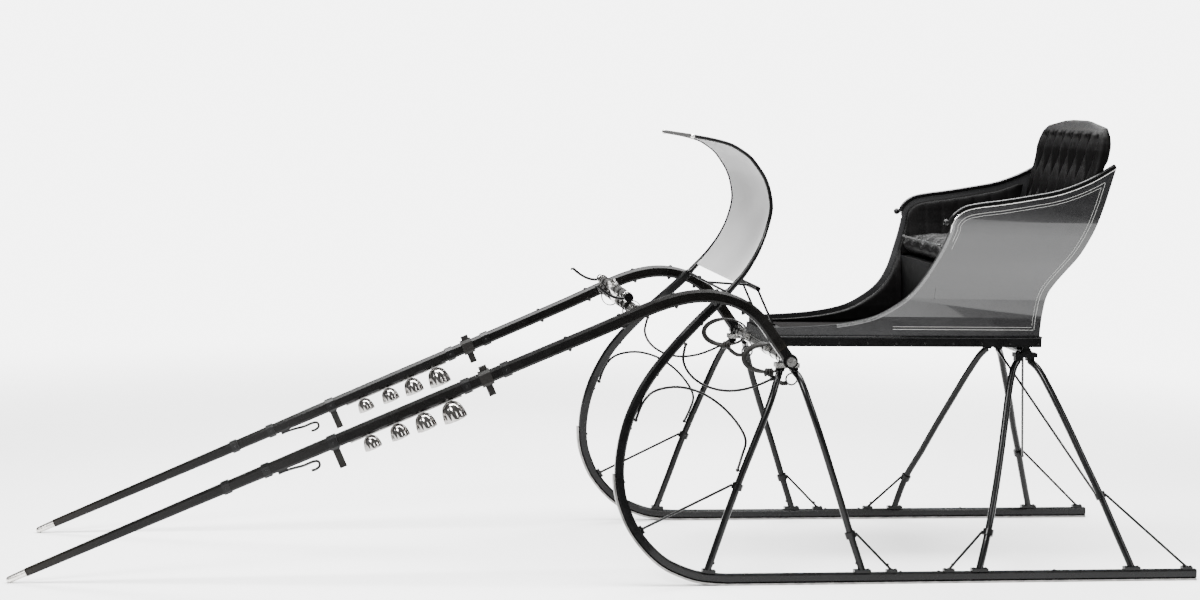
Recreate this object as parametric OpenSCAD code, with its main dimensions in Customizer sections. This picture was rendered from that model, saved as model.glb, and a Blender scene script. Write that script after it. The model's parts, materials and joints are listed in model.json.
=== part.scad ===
// Horse-drawn speeding cutter: one seat on high slender legs, a pair of shafts in front.
// X runs from the front to the rear, Y from left to right, Z up. The sleigh faces -X.
// Tables of stations give x from the foremost point of the runners, y as half a width.

/* [Runners] */
// Foremost point to rear end of the runners
runner_len = 1835; // [1700:5:2200]
// Centre to centre of the two runners on the ground
track = 964; // [860:2:1160]
// Width of the wooden runner
runner_w = 24; // [20:1:30]
// Height of the wooden runner
runner_h = 28; // [22:1:34]
// Thickness of the steel shoe
shoe_t = 6; // [4:1:8]

/* [Undercarriage] */
// Ground to the underside of the body
body_base_z = 694; // [620:2:840]
// Diameter of the leg irons
leg_d = 22; // [18:1:26]
// Diameter of the thin stays and scrolls
stay_d = 8; // [6:1:11]
// Diameter of the front cross tube
front_beam_d = 36; // [30:1:44]
// Centre of the front cross tube behind the runners' foremost point
front_beam_x = 534; // [480:2:600]
// Length of the front cross tube, without its pins
front_beam_len = 784; // [700:2:900]
// Rear cross tube to the rear end of the runners
rear_beam_back = 470; // [400:5:520]
// Length of the rear cross tube
rear_beam_len = 350; // [300:2:420]

/* [Body] */
// Width of the body at the floor
floor_w = 380; // [340:2:440]
// Thickness of the wooden body panels
panel_t = 12; // [8:1:16]
// Height of the sill frame under the panels
sill_h = 34; // [26:1:44]
// Thickness of the side padding
lining_t = 26; // [18:1:34]
// Floor to the top of the seat board
seat_h = 226; // [190:2:270]
// Thickness of the seat cushion
cushion_t = 78; // [60:2:96]
// Thickness of the back cushion
back_t = 66; // [50:2:80]

/* [Shafts] */
// Shaft tips ahead of the runners' foremost point
shaft_reach = 1800; // [1500:10:2100]
// Depth of a shaft at its thick middle
shaft_h = 37; // [32:1:44]
// Width of a shaft at its thick middle
shaft_w = 32; // [28:1:38]
// Half the gap between the shaft centres at the tips
tip_half = 350; // [300:2:400]
// Diameter of the pins that the shafts turn on
hinge_pin_d = 18; // [14:1:22]
// Length of the singletree
singletree_len = 640; // [560:5:700]
// Diameter of the singletree's pivot bolt
pivot_d = 12; // [10:1:16]
// Diameter of the rearmost and largest bell
bell_d = 76; // [60:1:86]

/* [Hidden] */

x_mid = (runner_len - shaft_reach) / 2;
left = -1;
right = 1;
fit = 0.3;            // gap between pieces that lie on each other
running = 0.08;       // radial clearance of a turning pin
seam = 0.1;           // gap of a glued or screwed joint between curved bars
smooth = 4;           // steps between two stations of a curve

enamel = [0.05, 0.05, 0.06];
steel = [0.55, 0.56, 0.58];
nickel = [0.78, 0.78, 0.76];
leather = [0.08, 0.07, 0.07];
paint = [0.36, 0.36, 0.37];

runner_z = shoe_t + seam + runner_h / 2;
runner_top = shoe_t + seam + runner_h;
hw = track / 2;
beam_r = front_beam_d / 2;
beam_z = body_base_z - beam_r;
beam_half = front_beam_len / 2;
rear_beam_x = runner_len - rear_beam_back;
leg_r = leg_d / 2;
stay_r = stay_d / 2;

// ---- curves -------------------------------------------------------------
function unit(v) = v / norm(v);
function last(v) = v[len(v) - 1];
function mix(a, b, t) = a + (b - a) * t;

// Catmull-Rom point at t between b and c
function bend(a, b, c, d, t) =
    0.5 * (2 * b + (c - a) * t + (2 * a - 5 * b + 4 * c - d) * t * t + (3 * b - a - 3 * c + d) * t * t * t);

function curve(p, steps = smooth) = [
    for (i = [0 : len(p) - 2], k = [0 : steps - 1])
        bend(p[max(i - 1, 0)], p[i], p[i + 1], p[min(i + 2, len(p) - 1)], k / steps),
    last(p)];

// Stations [x, half width, z] as points on one side of the sleigh
function on_side(p, side) = [for (q = p) [q[0], side * q[1], q[2]]];

// y for x in a table of rising [x, y] rows, read by straight lines
function look(x, t, i = 0) =
    i >= len(t) - 1 ? last(t)[1]
    : x <= t[i + 1][0] ? t[i][1] + (t[i + 1][1] - t[i][1]) * (x - t[i][0]) / (t[i + 1][0] - t[i][0])
    : look(x, t, i + 1);

function tangent(p, i) = unit(p[min(i + 1, len(p) - 1)] - p[max(i - 1, 0)]);
function across(t, side) = unit(side - (side * t) * t);

ROUND = [for (a = [0 : 36 : 324]) [cos(a), sin(a)]];
SOFT = 0.62;          // flat share of a chamfered bar's face
BAR = [[1, -SOFT], [1, SOFT], [SOFT, 1], [-SOFT, 1], [-1, SOFT], [-1, -SOFT], [-SOFT, -1], [SOFT, -1]];
FLAT = [[1, -1], [1, 1], [-1, 1], [-1, -1]];

function ring(p, i, w, h, sec, side) =
    let (t = tangent(p, i), b = across(t, side), n = cross(t, b))
    [for (s = sec) p[i] + b * s[0] * w / 2 + n * s[1] * h / 2];

function quads(a, b, k, flip) = [
    for (j = [0 : k - 1])
        let (q = [a + j, b + j, b + (j + 1) % k, a + (j + 1) % k])
        each flip ? [[q[0], q[2], q[1]], [q[0], q[3], q[2]]] : [[q[0], q[1], q[2]], [q[0], q[2], q[3]]]];

// One solid bar along a path. w and h are numbers, or one number for each point.
module sweep(p, w, h, sec = ROUND, side = [0, 1, 0]) {
    k = len(sec);
    n = len(p);
    points = [for (i = [0 : n - 1])
        each ring(p, i, is_list(w) ? w[i] : w, is_list(h) ? h[i] : h, sec, side)];
    sides = [for (i = [0 : n - 2]) each quads(i * k, (i + 1) * k, k, false)];
    caps = [[for (j = [0 : k - 1]) j], [for (j = [k - 1 : -1 : 0]) (n - 1) * k + j]];
    polyhedron(points = points, faces = concat(sides, caps));
}

// A sleeve along a path, w by h inside and t thick
module sleeve(p, w, h, t, sec = BAR, side = [0, 1, 0]) {
    k = len(sec);
    n = len(p);
    points = [for (g = [2 * t, 0], i = [0 : n - 1]) each ring(p, i, w + g, h + g, sec, side)];
    outer = [for (i = [0 : n - 2]) each quads(i * k, (i + 1) * k, k, false)];
    inner = [for (i = [0 : n - 2]) each quads((n + i) * k, (n + i + 1) * k, k, true)];
    ends = concat(quads(n * k, 0, k, false), quads((n - 1) * k, (2 * n - 1) * k, k, false));
    polyhedron(points = points, faces = concat(outer, inner, ends));
}

// A strap bent into a closed loop
module loop(p, w, t, side = [0, 1, 0]) {
    n = len(p);
    k = len(FLAT);
    points = [for (i = [0 : n - 1])
        let (d = unit(p[(i + 1) % n] - p[(i + n - 1) % n]), b = across(d, side), m = cross(d, b))
        each [for (s = FLAT) p[i] + b * s[0] * w / 2 + m * s[1] * t / 2]];
    polyhedron(points = points, faces = [for (i = [0 : n - 1]) each quads(i * k, ((i + 1) % n) * k, k, false)]);
}

module tube_y(r, y0, y1) {
    translate([0, y0, 0]) rotate([-90, 0, 0]) cylinder(r = r, h = y1 - y0, $fn = 48);
}

module place() {
    translate([-x_mid, 0, 0]) children();
}

// ---- runners and dash ---------------------------------------------------
// Columns: x, half width, z of the runner's centre line, from the flat to the dash
RUNNER_BEND = [[340, hw, runner_z], [262, hw, runner_z + 7], [204, hw, runner_z + 25],
    [150, hw - 1, runner_z + 52], [104, hw - 6, 112], [65, hw - 16, 160], [41, hw - 24, 205],
    [21, hw - 34, 262], [13, hw - 44, 320], [15, hw - 53, 380], [26, hw - 61, 442], [44, hw - 69, 502],
    [70, hw - 77, 560], [103, hw - 86, 616], [150, hw - 98, 676], [204, hw - 114, 735],
    [260, hw - 132, 790], [305, hw - 140, 832], [346, hw - 144, 872]];
RUNNER = concat([[runner_len, hw, runner_z], [1200, hw, runner_z], [600, hw, runner_z]],
    curve(RUNNER_BEND));
// The irons carry on from the runners and bend forward over the dash
DASH_BEND = [[346, hw - 144, 872], [370, hw - 146, 899], [397, hw - 150, 929], [420, hw - 158, 960],
    [445, hw - 168, 1000], [465, hw - 176, 1043], [477, hw - 181, 1080], [485, hw - 182, 1114],
    [487, hw - 182, 1146], [479, hw - 184, 1190], [465, hw - 186, 1227], [445, hw - 191, 1258],
    [421, hw - 197, 1288], [390, hw - 205, 1311], [357, hw - 213, 1328], [305, hw - 222, 1341],
    [250, hw - 229, 1350]];
DASH = curve(DASH_BEND);
iron_d = 12;
iron_root_d = 20;
iron_taper = 20;      // points along the dash until the iron is at its thinnest
iron_thick = [for (i = [0 : len(DASH) - 1]) mix(iron_root_d, iron_d, min(1, i / iron_taper))];
sheet_t = 4;
sheet_start = 5;      // point of the dash curve where the sheet begins
sheet_rail_r = 6;
shoe_stop = 36;       // point of the runner where the shoe ends, above the nose

// The point h outside (or, below zero, inside) the middle of a runner
function off_runner(p, i, h) =
    let (t = tangent(p, i), b = across(t, [0, 1, 0])) p[i] + cross(t, b) * h;

module runner(side) {
    color(enamel)
        place() sweep(on_side(RUNNER, side), runner_w, runner_h, BAR);
}

module shoe(side) {
    path = on_side(RUNNER, side);
    color(steel)
        place() sweep([for (i = [0 : shoe_stop]) off_runner(path, i, (runner_h + shoe_t) / 2 + seam)],
            runner_w + 2, shoe_t, FLAT);
}

module dash_iron(side) {
    path = on_side(DASH, side);
    start = mix(path[0], path[1], 0.12);
    color(enamel)
        place() sweep(concat([start], [for (i = [1 : len(path) - 1]) path[i]]), iron_thick, iron_thick);
}

module dash_panel() {
    path = [for (i = [sheet_start : len(DASH) - 1]) [DASH[i][0], 0, DASH[i][2]]];
    width = [for (i = [sheet_start : len(DASH) - 1]) 2 * DASH[i][1] - iron_thick[i] - 2 * fit];
    color(nickel)
        place() sweep(path, width, sheet_t, FLAT);
}

module dash_top_rail() {
    tip = last(DASH);
    t = tangent(DASH, len(DASH) - 1);
    color(nickel)
        place() translate([tip[0], 0, tip[2]] + [t[0], 0, t[2]] * (sheet_rail_r + 2 * fit))
            tube_y(sheet_rail_r, -tip[1] - iron_d / 2, tip[1] + iron_d / 2);
}

// Foot rail behind the dash, on two stays from the toe board and one from the dash's foot
toe_x = front_beam_x - 4;
toe_top = body_base_z + sill_h + 24;
toe_board_d = 26;
foot_rail = [489, 135, 869];
module toe_rail() {
    foot = DASH[1];
    bar_r = 8;
    stay_in = 14;
    color(enamel) place() {
        translate([foot_rail[0], 0, foot_rail[2]]) tube_y(bar_r, -foot_rail[1], foot_rail[1]);
        translate([foot[0], 0, foot[2]])
            tube_y(stay_r, -foot[1] + iron_root_d / 2 + fit, foot[1] - iron_root_d / 2 - fit);
        for (side = [left, right])
            sweep([[foot_rail[0], side * (foot_rail[1] - stay_in), foot_rail[2]],
                [toe_x + toe_board_d / 2, side * (foot_rail[1] - stay_in), toe_top + 2]], stay_d, stay_d);
        sweep([[foot_rail[0], 0, foot_rail[2]], [foot[0], 0, foot[2]]], stay_d, stay_d);
        for (side = [left, right])
            translate([toe_x + toe_board_d / 2, side * (foot_rail[1] - stay_in), toe_top])
                cylinder(r = stay_d, h = 6, $fn = 24);
    }
}

// ---- undercarriage ------------------------------------------------------
pad_h = 9;
pad_len = 52;
pad_w = 22;
lug = 24;             // top lug of a leg, as long as it is wide
lug_h = 12;
front_top_z = beam_z - beam_r - 6;
rear_beam_r = 15;
rear_beam_z = body_base_z - rear_beam_r;
rear_top_z = rear_beam_z - rear_beam_r - 6;
front_lug_y = beam_half - 20;
rear_lug_y = rear_beam_len / 2 - 17;
foot_z = runner_top + pad_h - 2;
front_foot_lift = 5;  // the runner already rises under the foremost foot
nose_foot = 6;        // point of the runner under the foremost foot

// A leg from its foot to its top. Columns between: x, half width, share of the body's height.
function leg_line(foot, between, head) =
    concat([foot], [for (q = between) [q[0], q[1], q[2] * body_base_z]], [head]);
front_head_z = front_top_z - lug_h;
rear_head_z = rear_top_z - lug_h;
FRONT_LEGS = [
    leg_line([282, hw, foot_z + front_foot_lift],
        [[318, hw - 8, 0.216], [352, hw - 12, 0.36], [389, hw - 18, 0.504], [429, hw - 26, 0.648],
        [469, hw - 38, 0.793], [497, hw - 72, 0.893]], [front_beam_x - 21, front_lug_y, front_head_z]),
    leg_line([763, hw, foot_z],
        [[725, hw - 6, 0.216], [692, hw - 8, 0.36], [658, hw - 9, 0.504], [624, hw - 14, 0.648],
        [590, hw - 34, 0.793], [568, hw - 70, 0.893]], [front_beam_x + 22, front_lug_y, front_head_z])];
REAR_LEGS = [
    leg_line([rear_beam_x - 230, hw, foot_z],
        [[rear_beam_x - 200, hw - 23, 0.216], [rear_beam_x - 165, hw - 79, 0.36],
        [rear_beam_x - 133, hw - 136, 0.504], [rear_beam_x - 101, hw - 199, 0.648],
        [rear_beam_x - 69, hw - 264, 0.793], [rear_beam_x - 42, hw - 308, 0.893]],
        [rear_beam_x - 22, rear_lug_y, rear_head_z]),
    leg_line([rear_beam_x + 260, hw, foot_z],
        [[rear_beam_x + 220, hw - 47, 0.216], [rear_beam_x + 184, hw - 91, 0.36],
        [rear_beam_x + 145, hw - 140, 0.504], [rear_beam_x + 108, hw - 193, 0.648],
        [rear_beam_x + 68, hw - 246, 0.793], [rear_beam_x + 38, hw - 290, 0.893]],
        [rear_beam_x + 17, rear_lug_y, rear_head_z])];

module leg(stations, side, top_z) {
    path = on_side(curve(stations), side);
    head = last(path);
    sweep(path, leg_d, leg_d);
    translate([head[0], head[1], top_z - lug_h / 2]) cube([lug, lug, lug_h], center = true);
}

module flat_foot(foot, side) {
    translate([foot[0], side * foot[1], runner_top + pad_h / 2]) cube([pad_len, pad_w, pad_h], center = true);
}

// A block on the runner's upper face, from one point of the runner to another
module runner_block(first, final, w, h, side) {
    path = on_side(RUNNER, side);
    sweep([for (i = [first : final]) off_runner(path, i, -(runner_h + h) / 2 - seam)], w, h, FLAT);
}

module legs_front(side) {
    color(enamel) place() {
        leg(FRONT_LEGS[0], side, front_top_z);
        runner_block(nose_foot - 1, nose_foot + 1, pad_w, pad_h, side);
        leg(FRONT_LEGS[1], side, front_top_z);
        flat_foot(FRONT_LEGS[1][0], side);
    }
}

module legs_rear(side) {
    color(enamel) place() for (stations = REAR_LEGS) {
        leg(stations, side, rear_top_z);
        flat_foot(stations[0], side);
    }
}

// One brace: a ring round the leg, and a stay from it down to a lug on the runner
ring_t = 5;
ring_gap = 0.8;
knob_r = stay_r + 2;   // round end of a stay
ring_half = 10;
module brace(stations, at, foot, side) {
    path = on_side(curve(stations), side);
    p = path[at];
    t = tangent(path, at);
    down = [foot[0], side * foot[1], foot[2]];
    go = unit(down - p);
    from = unit(go - (go * t) * t);
    sleeve([p - t * ring_half, p + t * ring_half], leg_d + 2 * ring_gap, leg_d + 2 * ring_gap, ring_t, ROUND);
    sweep([p + from * (leg_r + ring_gap + ring_t), down], stay_d, stay_d);
    translate(down) sphere(r = knob_r, $fn = 24);
}

// Lug that carries a brace on the flat of the runner
module flat_lug(x, side) {
    translate([x, side * hw, runner_top + stay_r]) cube([34, 18, stay_d], center = true);
}

nose_lug = 23;        // point of the runner that carries the foremost brace
module braces_front(side) {
    tip = off_runner(RUNNER, nose_lug, -runner_h / 2 - knob_r - fit);
    color(enamel) place() {
        brace(FRONT_LEGS[0], 10, tip, side);
        runner_block(nose_lug - 1, nose_lug + 1, 18, stay_d, side);
        brace(FRONT_LEGS[1], 4, [856, hw, runner_top + knob_r], side);
        flat_lug(856, side);
    }
}

module braces_rear(side) {
    ahead = rear_beam_x - 328;
    behind = rear_beam_x + 440;
    color(enamel) place() {
        brace(REAR_LEGS[0], 4, [ahead, hw, runner_top + knob_r], side);
        flat_lug(ahead, side);
        brace(REAR_LEGS[1], 8, [behind, hw, runner_top + knob_r], side);
        flat_lug(behind, side);
    }
}

// Columns: x, half width, z. The scrolls arch from the runner to the foremost leg.
off_leg = (leg_r + knob_r + fit) / cos(22);
off_bar = runner_h / 2 + knob_r + 3 * fit;
LOWER_SCROLL = [off_runner(RUNNER, 47, -off_bar),
    [82, hw - 68, 545], [112, hw - 67, 580], [160, hw - 66, 595],
    [212, hw - 65, 594], [272, hw - 60, 574], [330, hw - 52, 534], [376, hw - 44, 482],
    [397, hw - 36, 436], [386, hw - 32, 392], FRONT_LEGS[0][3] - [off_leg, 0, 0]];
UPPER_SCROLL = [off_runner(RUNNER, 63, -off_bar),
    [214, hw - 112, 700], [211, hw - 106, 672], [224, hw - 98, 640],
    [252, hw - 92, 612], [292, hw - 86, 592], [343, hw - 80, 583], [395, hw - 76, 588],
    [442, hw - 74, 603], FRONT_LEGS[0][6] - [off_leg, 0, 0]];
module scrolls(side) {
    color(enamel) place() for (stations = [LOWER_SCROLL, UPPER_SCROLL]) {
        path = on_side(curve(stations), side);
        sweep(path, stay_d, stay_d);
        for (end = [path[0], last(path)]) translate(end) sphere(r = knob_r, $fn = 24);
    }
}

pin_r = hinge_pin_d / 2;
eye_w = 32;
nut_r = 15;
nut_t = 10;
pin_end = beam_half + eye_w + 3 + nut_t;
module front_beam() {
    plate = [74, 40, 14];
    color(nickel) place() translate([front_beam_x, 0, beam_z]) {
        tube_y(beam_r, -beam_half, beam_half);
        for (side = [left, right]) scale([1, side, 1]) {
            tube_y(pin_r, beam_half - 5, pin_end);
            tube_y(nut_r, pin_end - nut_t, pin_end);
            translate([0, front_lug_y - 1, -beam_r - 6 + plate[2] / 2]) cube(plate, center = true);
            translate([0, floor_w / 2 - 30, beam_r / 2]) cube([50, 30, beam_r], center = true);
        }
    }
}

module rear_beam() {
    plate = [74, 34, 14];
    color(enamel) place() translate([rear_beam_x, 0, rear_beam_z]) {
        tube_y(rear_beam_r, -rear_beam_len / 2, rear_beam_len / 2);
        for (side = [left, right]) scale([1, side, 1]) {
            translate([0, rear_lug_y, -rear_beam_r - 6 + plate[2] / 2]) cube(plate, center = true);
            translate([0, rear_lug_y - 30, rear_beam_r / 2]) cube([44, 26, rear_beam_r], center = true);
        }
    }
}

// Two thin stays that cross behind the rear legs, from each clip to the other end of the beam
module rear_stays() {
    at_clip = 4;
    at_beam = 7;
    under = sqrt(pow(rear_beam_r + knob_r + fit, 2) - pow(at_beam, 2));
    path = curve(REAR_LEGS[1]);
    t = tangent(path, 8);
    inward = unit([0, -1, 0] + t[1] * t);
    clip = path[8] + inward * (leg_r + ring_gap + ring_t + knob_r + fit);
    color(enamel) place() for (side = [left, right]) {
        low = [clip[0] + side * at_clip, side * clip[1], clip[2]];
        high = [rear_beam_x + side * at_beam, -side * (rear_lug_y - 40), rear_beam_z - under];
        sweep([low, high], stay_d, stay_d);
        for (end = [low, high]) translate(end) sphere(r = knob_r, $fn = 24);
    }
}

// Leather straps round the front cross tube, each with a loose tail
strap_w = 20;
strap_t = 3.5;
strap_y = 338;
strap_rx = 74;
strap_rz = 44;
module beam_strap(side) {
    mid = [front_beam_x + beam_r + fit + strap_t / 2 - strap_rx, side * strap_y, beam_z];
    loop([for (a = [0 : 12 : 348]) mid + [strap_rx * cos(a), 0, -strap_rz * sin(a)]], strap_w, strap_t);
    tail = [for (q = [[-12, -43], [10, -62], [30, -80], [52, -86], [66, -70], [60, -52]])
        mid + [q[0], 0, q[1]]];
    sweep(curve(tail), strap_w - 4, strap_t, FLAT);
}

module beam_straps() {
    color(leather) place() for (side = [left, right]) beam_strap(side);
}

// ---- body ---------------------------------------------------------------
body_rear = rear_beam_x + 35;
floor_z = body_base_z + sill_h;
half_floor = floor_w / 2;

// Columns: height over the floor, how far the outside of a side panel stands out from the floor's edge
FLARE = [[0, 0], [60, 2], [120, 10], [152, 18], [182, 29], [212, 43], [242, 58], [272, 70], [302, 80],
    [332, 90], [372, 100], [432, 109], [492, 115], [562, 120], [700, 124]];
function flare(z) = half_floor + look(z - floor_z, FLARE);

// Outline of a side, as x and z. The front part hangs from the toe, the rest from the body's rear.
TOE_EDGE = [[toe_x, floor_z + 24], [toe_x + 120, floor_z + 29], [toe_x + 230, floor_z + 40],
    [toe_x + 325, floor_z + 62]];
FRONT_EDGE = [[body_rear - 475, floor_z + 100], [body_rear - 432, floor_z + 136],
    [body_rear - 400, floor_z + 182], [body_rear - 376, floor_z + 232], [body_rear - 352, floor_z + 292],
    [body_rear - 334, floor_z + 348]];
TOP_EDGE = [[body_rear - 334, floor_z + 364], [body_rear - 320, floor_z + 388],
    [body_rear - 290, floor_z + 409], [body_rear - 240, floor_z + 420], [body_rear - 180, floor_z + 428],
    [body_rear - 90, floor_z + 443], [body_rear + 10, floor_z + 463], [body_rear + 105, floor_z + 500],
    [body_rear + 186, floor_z + 548]];
REAR_EDGE = [[body_rear, floor_z], [body_rear + 5, floor_z + 70], [body_rear + 14, floor_z + 130],
    [body_rear + 32, floor_z + 168], [body_rear + 62, floor_z + 214], [body_rear + 100, floor_z + 272],
    [body_rear + 133, floor_z + 349], [body_rear + 157, floor_z + 430], [body_rear + 176, floor_z + 508],
    [body_rear + 186, floor_z + 548]];
REAR_CURVE = curve(REAR_EDGE);
TOP_CURVE = curve(TOP_EDGE);
side_outline = concat([[toe_x, floor_z]], REAR_CURVE, [for (i = [len(TOP_CURVE) - 2 : -1 : 0]) TOP_CURVE[i]],
    let (f = curve(concat(TOE_EDGE, FRONT_EDGE))) [for (i = [len(f) - 1 : -1 : 0]) f[i]]);
function rear_x(z) = look(z, [for (q = REAR_CURVE) [q[1], q[0]]]);
function top_z(x) = look(x, TOP_CURVE);

// A slab along X whose outer and inner faces follow the flare, out and in from the panel's outside
module flare_slab(out, in, side) {
    zs = [for (q = FLARE) floor_z + q[0]];
    n = len(zs);
    outer = [for (z = zs) [side * (flare(z) - out), z]];
    inner = [for (i = [n - 1 : -1 : 0]) [side * (flare(zs[i]) - in), zs[i]]];
    translate([toe_x - 50, 0, 0]) rotate([90, 0, 90])
        linear_extrude(height = body_rear - toe_x + 300) polygon(concat(outer, inner));
}

// The room between the side panels, less a margin, as one solid along X
module between_sides(margin) {
    zs = [for (q = FLARE) floor_z + q[0]];
    n = len(zs);
    translate([toe_x - 50, 0, 0]) rotate([90, 0, 90]) linear_extrude(height = body_rear - toe_x + 300)
        polygon(concat([for (z = zs) [flare(z) - margin, z]],
            [for (i = [n - 1 : -1 : 0]) [margin - flare(zs[i]), zs[i]]]));
}

// An XZ outline made into a slab across the sleigh
module upright(outline, half) {
    rotate([90, 0, 0]) translate([0, 0, -half]) linear_extrude(height = 2 * half) polygon(outline);
}

module side_panel(side) {
    color(paint) place() intersection() {
        upright(side_outline, 400);
        flare_slab(0, panel_t, side);
    }
}

rail_w = 18;
rail_h = 12;
module arm_rail(side) {
    n = len(TOP_CURVE);
    path = [for (i = [0 : n - 1])
        let (a = TOP_CURVE[max(i - 1, 0)], b = TOP_CURVE[min(i + 1, n - 1)], d = unit(b - a), q = TOP_CURVE[i])
        [q[0] - d[1] * (rail_h / 2 + fit), side * (flare(q[1]) - panel_t / 2), q[1] + d[0] * (rail_h / 2 + fit)]];
    color(enamel)
        place() sweep(path, rail_w, rail_h, BAR);
}

module sill_frame() {
    rim = 30;
    lip = 6;
    color(enamel) place() difference() {
        translate([toe_x - lip, -half_floor - lip, body_base_z])
            cube([body_rear - toe_x + 2 * lip, floor_w + 2 * lip, sill_h]);
        translate([toe_x + rim, -half_floor + rim, body_base_z - 1])
            cube([body_rear - toe_x - 2 * rim, floor_w - 2 * rim, sill_h + 2]);
    }
}

board_t = 12;
module floor_board() {
    rim = 30;
    color(enamel) place() translate([toe_x + rim + fit, -half_floor + rim + fit, floor_z - board_t])
        cube([body_rear - toe_x - 2 * rim - 2 * fit, floor_w - 2 * rim - 2 * fit, board_t]);
}

module toe_board() {
    color(enamel) place() translate([toe_x, -half_floor + panel_t + fit, floor_z])
        cube([toe_board_d, floor_w - 2 * panel_t - 2 * fit, toe_top - floor_z]);
}

back_head = 1420;     // top of the tufted back
module back_panel() {
    low = [for (q = REAR_CURVE) if (q[1] < rail_top - rail_h) q];
    n = len(low);
    outline = concat(low, [for (i = [n - 1 : -1 : 0]) [low[i][0] - panel_t, low[i][1]]]);
    color(paint) place() intersection() {
        upright(outline, 400);
        between_sides(panel_t + fit);
    }
}

seat_z = floor_z + seat_h;
seat_front = body_rear - 355;
riser_t = 12;
seat_board_t = 14;
module seat_riser() {
    color(enamel) place() intersection() {
        translate([seat_front, -400, floor_z]) cube([riser_t, 800, seat_h - seat_board_t]);
        between_sides(panel_t + fit);
    }
}

module seat_board() {
    color(enamel) place() intersection() {
        translate([seat_front, -400, seat_z - seat_board_t])
            cube([rear_x(seat_z - seat_board_t) - panel_t - fit - seat_front, 800, seat_board_t]);
        between_sides(panel_t + fit);
    }
}

// The back cushion fills the back panel's front and rolls over above the rails
back_low = seat_z + fit;
rail_top = last(REAR_EDGE)[1];
BACK_ZS = [for (k = [0 : 8]) back_low + (rail_top - back_low) * k / 8];
head_x = last(REAR_EDGE)[0];
BACK_FRONT = concat([for (z = BACK_ZS) [rear_x(z) - panel_t - fit - back_t, z]],
    [[head_x - back_t - 8, rail_top + 50], [head_x - back_t + 4, rail_top + 100],
    [head_x - 30, back_head - 6], [head_x - 5, back_head]]);
BACK_REAR = concat([for (z = BACK_ZS) [rear_x(z) - panel_t - fit, z]],
    [[head_x, rail_top + 20], [head_x + 8, rail_top + 60], [head_x + 10, rail_top + 95],
    [head_x + 6, rail_top + 125], [head_x - 2, back_head - 4]]);
module back_cushion() {
    zs = concat([for (up = [0 : 60 : 240]) back_low + up], [rail_top - 20]);
    side_in = (panel_t + rail_w) / 2 + 2 * fit;
    low = [for (z = zs) [flare(z) - side_in, z]];
    corner = [for (a = [0 : 15 : 60])
        [flare(rail_top) - side_in - 75 + 75 * cos(a), back_head - 12 - 80 + 80 * sin(a)]];
    crown = [[110, back_head - 3], [0, back_head + 1]];
    half = concat(low, corner, crown);
    n = len(half);
    front = concat(half, [for (i = [n - 2 : -1 : 0]) [-half[i][0], half[i][1]]]);
    m = len(BACK_REAR);
    color(leather) place() intersection() {
        upright(concat(BACK_FRONT, [for (i = [m - 1 : -1 : 0]) BACK_REAR[i]]), 400);
        translate([toe_x, 0, 0]) rotate([90, 0, 90]) linear_extrude(height = body_rear - toe_x + 300)
            polygon(front);
    }
}

// Points of an edge that runs from the front to the rear, moved into the panel, rear ones first
function inside(p, by) = [for (i = [len(p) - 1 : -1 : 0])
    let (a = p[max(i - 1, 0)], b = p[min(i + 1, len(p) - 1)], d = unit(b - a)) p[i] + [d[1], -d[0]] * by];

// Side padding, from the toe to the back cushion, a margin inside the panel's outline
module side_lining(side) {
    inset = 12;
    top = inside(TOP_CURVE, inset);
    edge = inside(curve(concat(TOE_EDGE, FRONT_EDGE)), inset);
    floor_gap = 6;
    outline = concat([[toe_x + toe_board_d + 2, floor_z + floor_gap], [body_rear - 20, floor_z + floor_gap]],
        [[rear_x(seat_z) - panel_t - fit - back_t - 2, seat_z]],
        [for (z = BACK_ZS) let (x = rear_x(z) - panel_t - 2 * fit - back_t) if (z < top_z(x) - inset) [x, z]],
        [for (q = top) if (q[0] < rear_x(q[1]) - panel_t - back_t - 4) q],
        [for (q = edge) if (q[0] > toe_x + toe_board_d + 2) q]);
    color(leather) place() difference() {
        intersection() {
            upright(outline, 400);
            flare_slab(panel_t + fit, panel_t + fit + lining_t, side);
        }
        translate([seat_front - fit, -400, floor_z]) cube([400, 800, seat_h + fit]);
    }
}

module seat_cushion() {
    rear = rear_x(seat_z) - panel_t - back_t - 3 * fit;
    color(leather) place() intersection() {
        translate([seat_front, -400, seat_z + fit]) cube([rear - seat_front, 800, cushion_t - fit]);
        between_sides(panel_t + lining_t + 3 * fit);
    }
}

mat_t = 6;
module floor_mat() {
    x0 = toe_x + toe_board_d + fit;
    color(leather) place() translate([x0, -half_floor + panel_t + 1, floor_z + fit / 3])
        cube([seat_front - x0 - fit, floor_w - 2 * panel_t - 2, mat_t - fit]);
}

// ---- shafts -------------------------------------------------------------
tip_r = 10;
tip_len = 52;
hinge_x = front_beam_x;
hinge_y = beam_half + eye_w / 2 + 1;
// The straight front part of a shaft ends here, as x and z, and the arch over the hinge begins
knee = [hinge_x - 594, beam_z + 86];
shaft_angle = atan2(knee[1] - tip_r, knee[0] + shaft_reach - tip_r);
tip_end = -shaft_reach + tip_r + tip_len * cos(shaft_angle);

// Columns: share of the straight part, share of the way out from the tip to the hinge
SHAFT_BOW = [[0, 0], [0.1, 0.03], [0.3, 0.08], [0.45, 0.18], [0.53, 0.26], [0.65, 0.34], [0.77, 0.43],
    [0.89, 0.56], [1, 0.71]];
STRAIGHT = [for (s = [0 : 0.1 : 0.95]) [mix(tip_end, knee[0], s), mix(tip_half, hinge_y, look(s, SHAFT_BOW)),
    tip_r + (mix(tip_end, knee[0], s) + shaft_reach - tip_r) * tan(shaft_angle)]];
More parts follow.
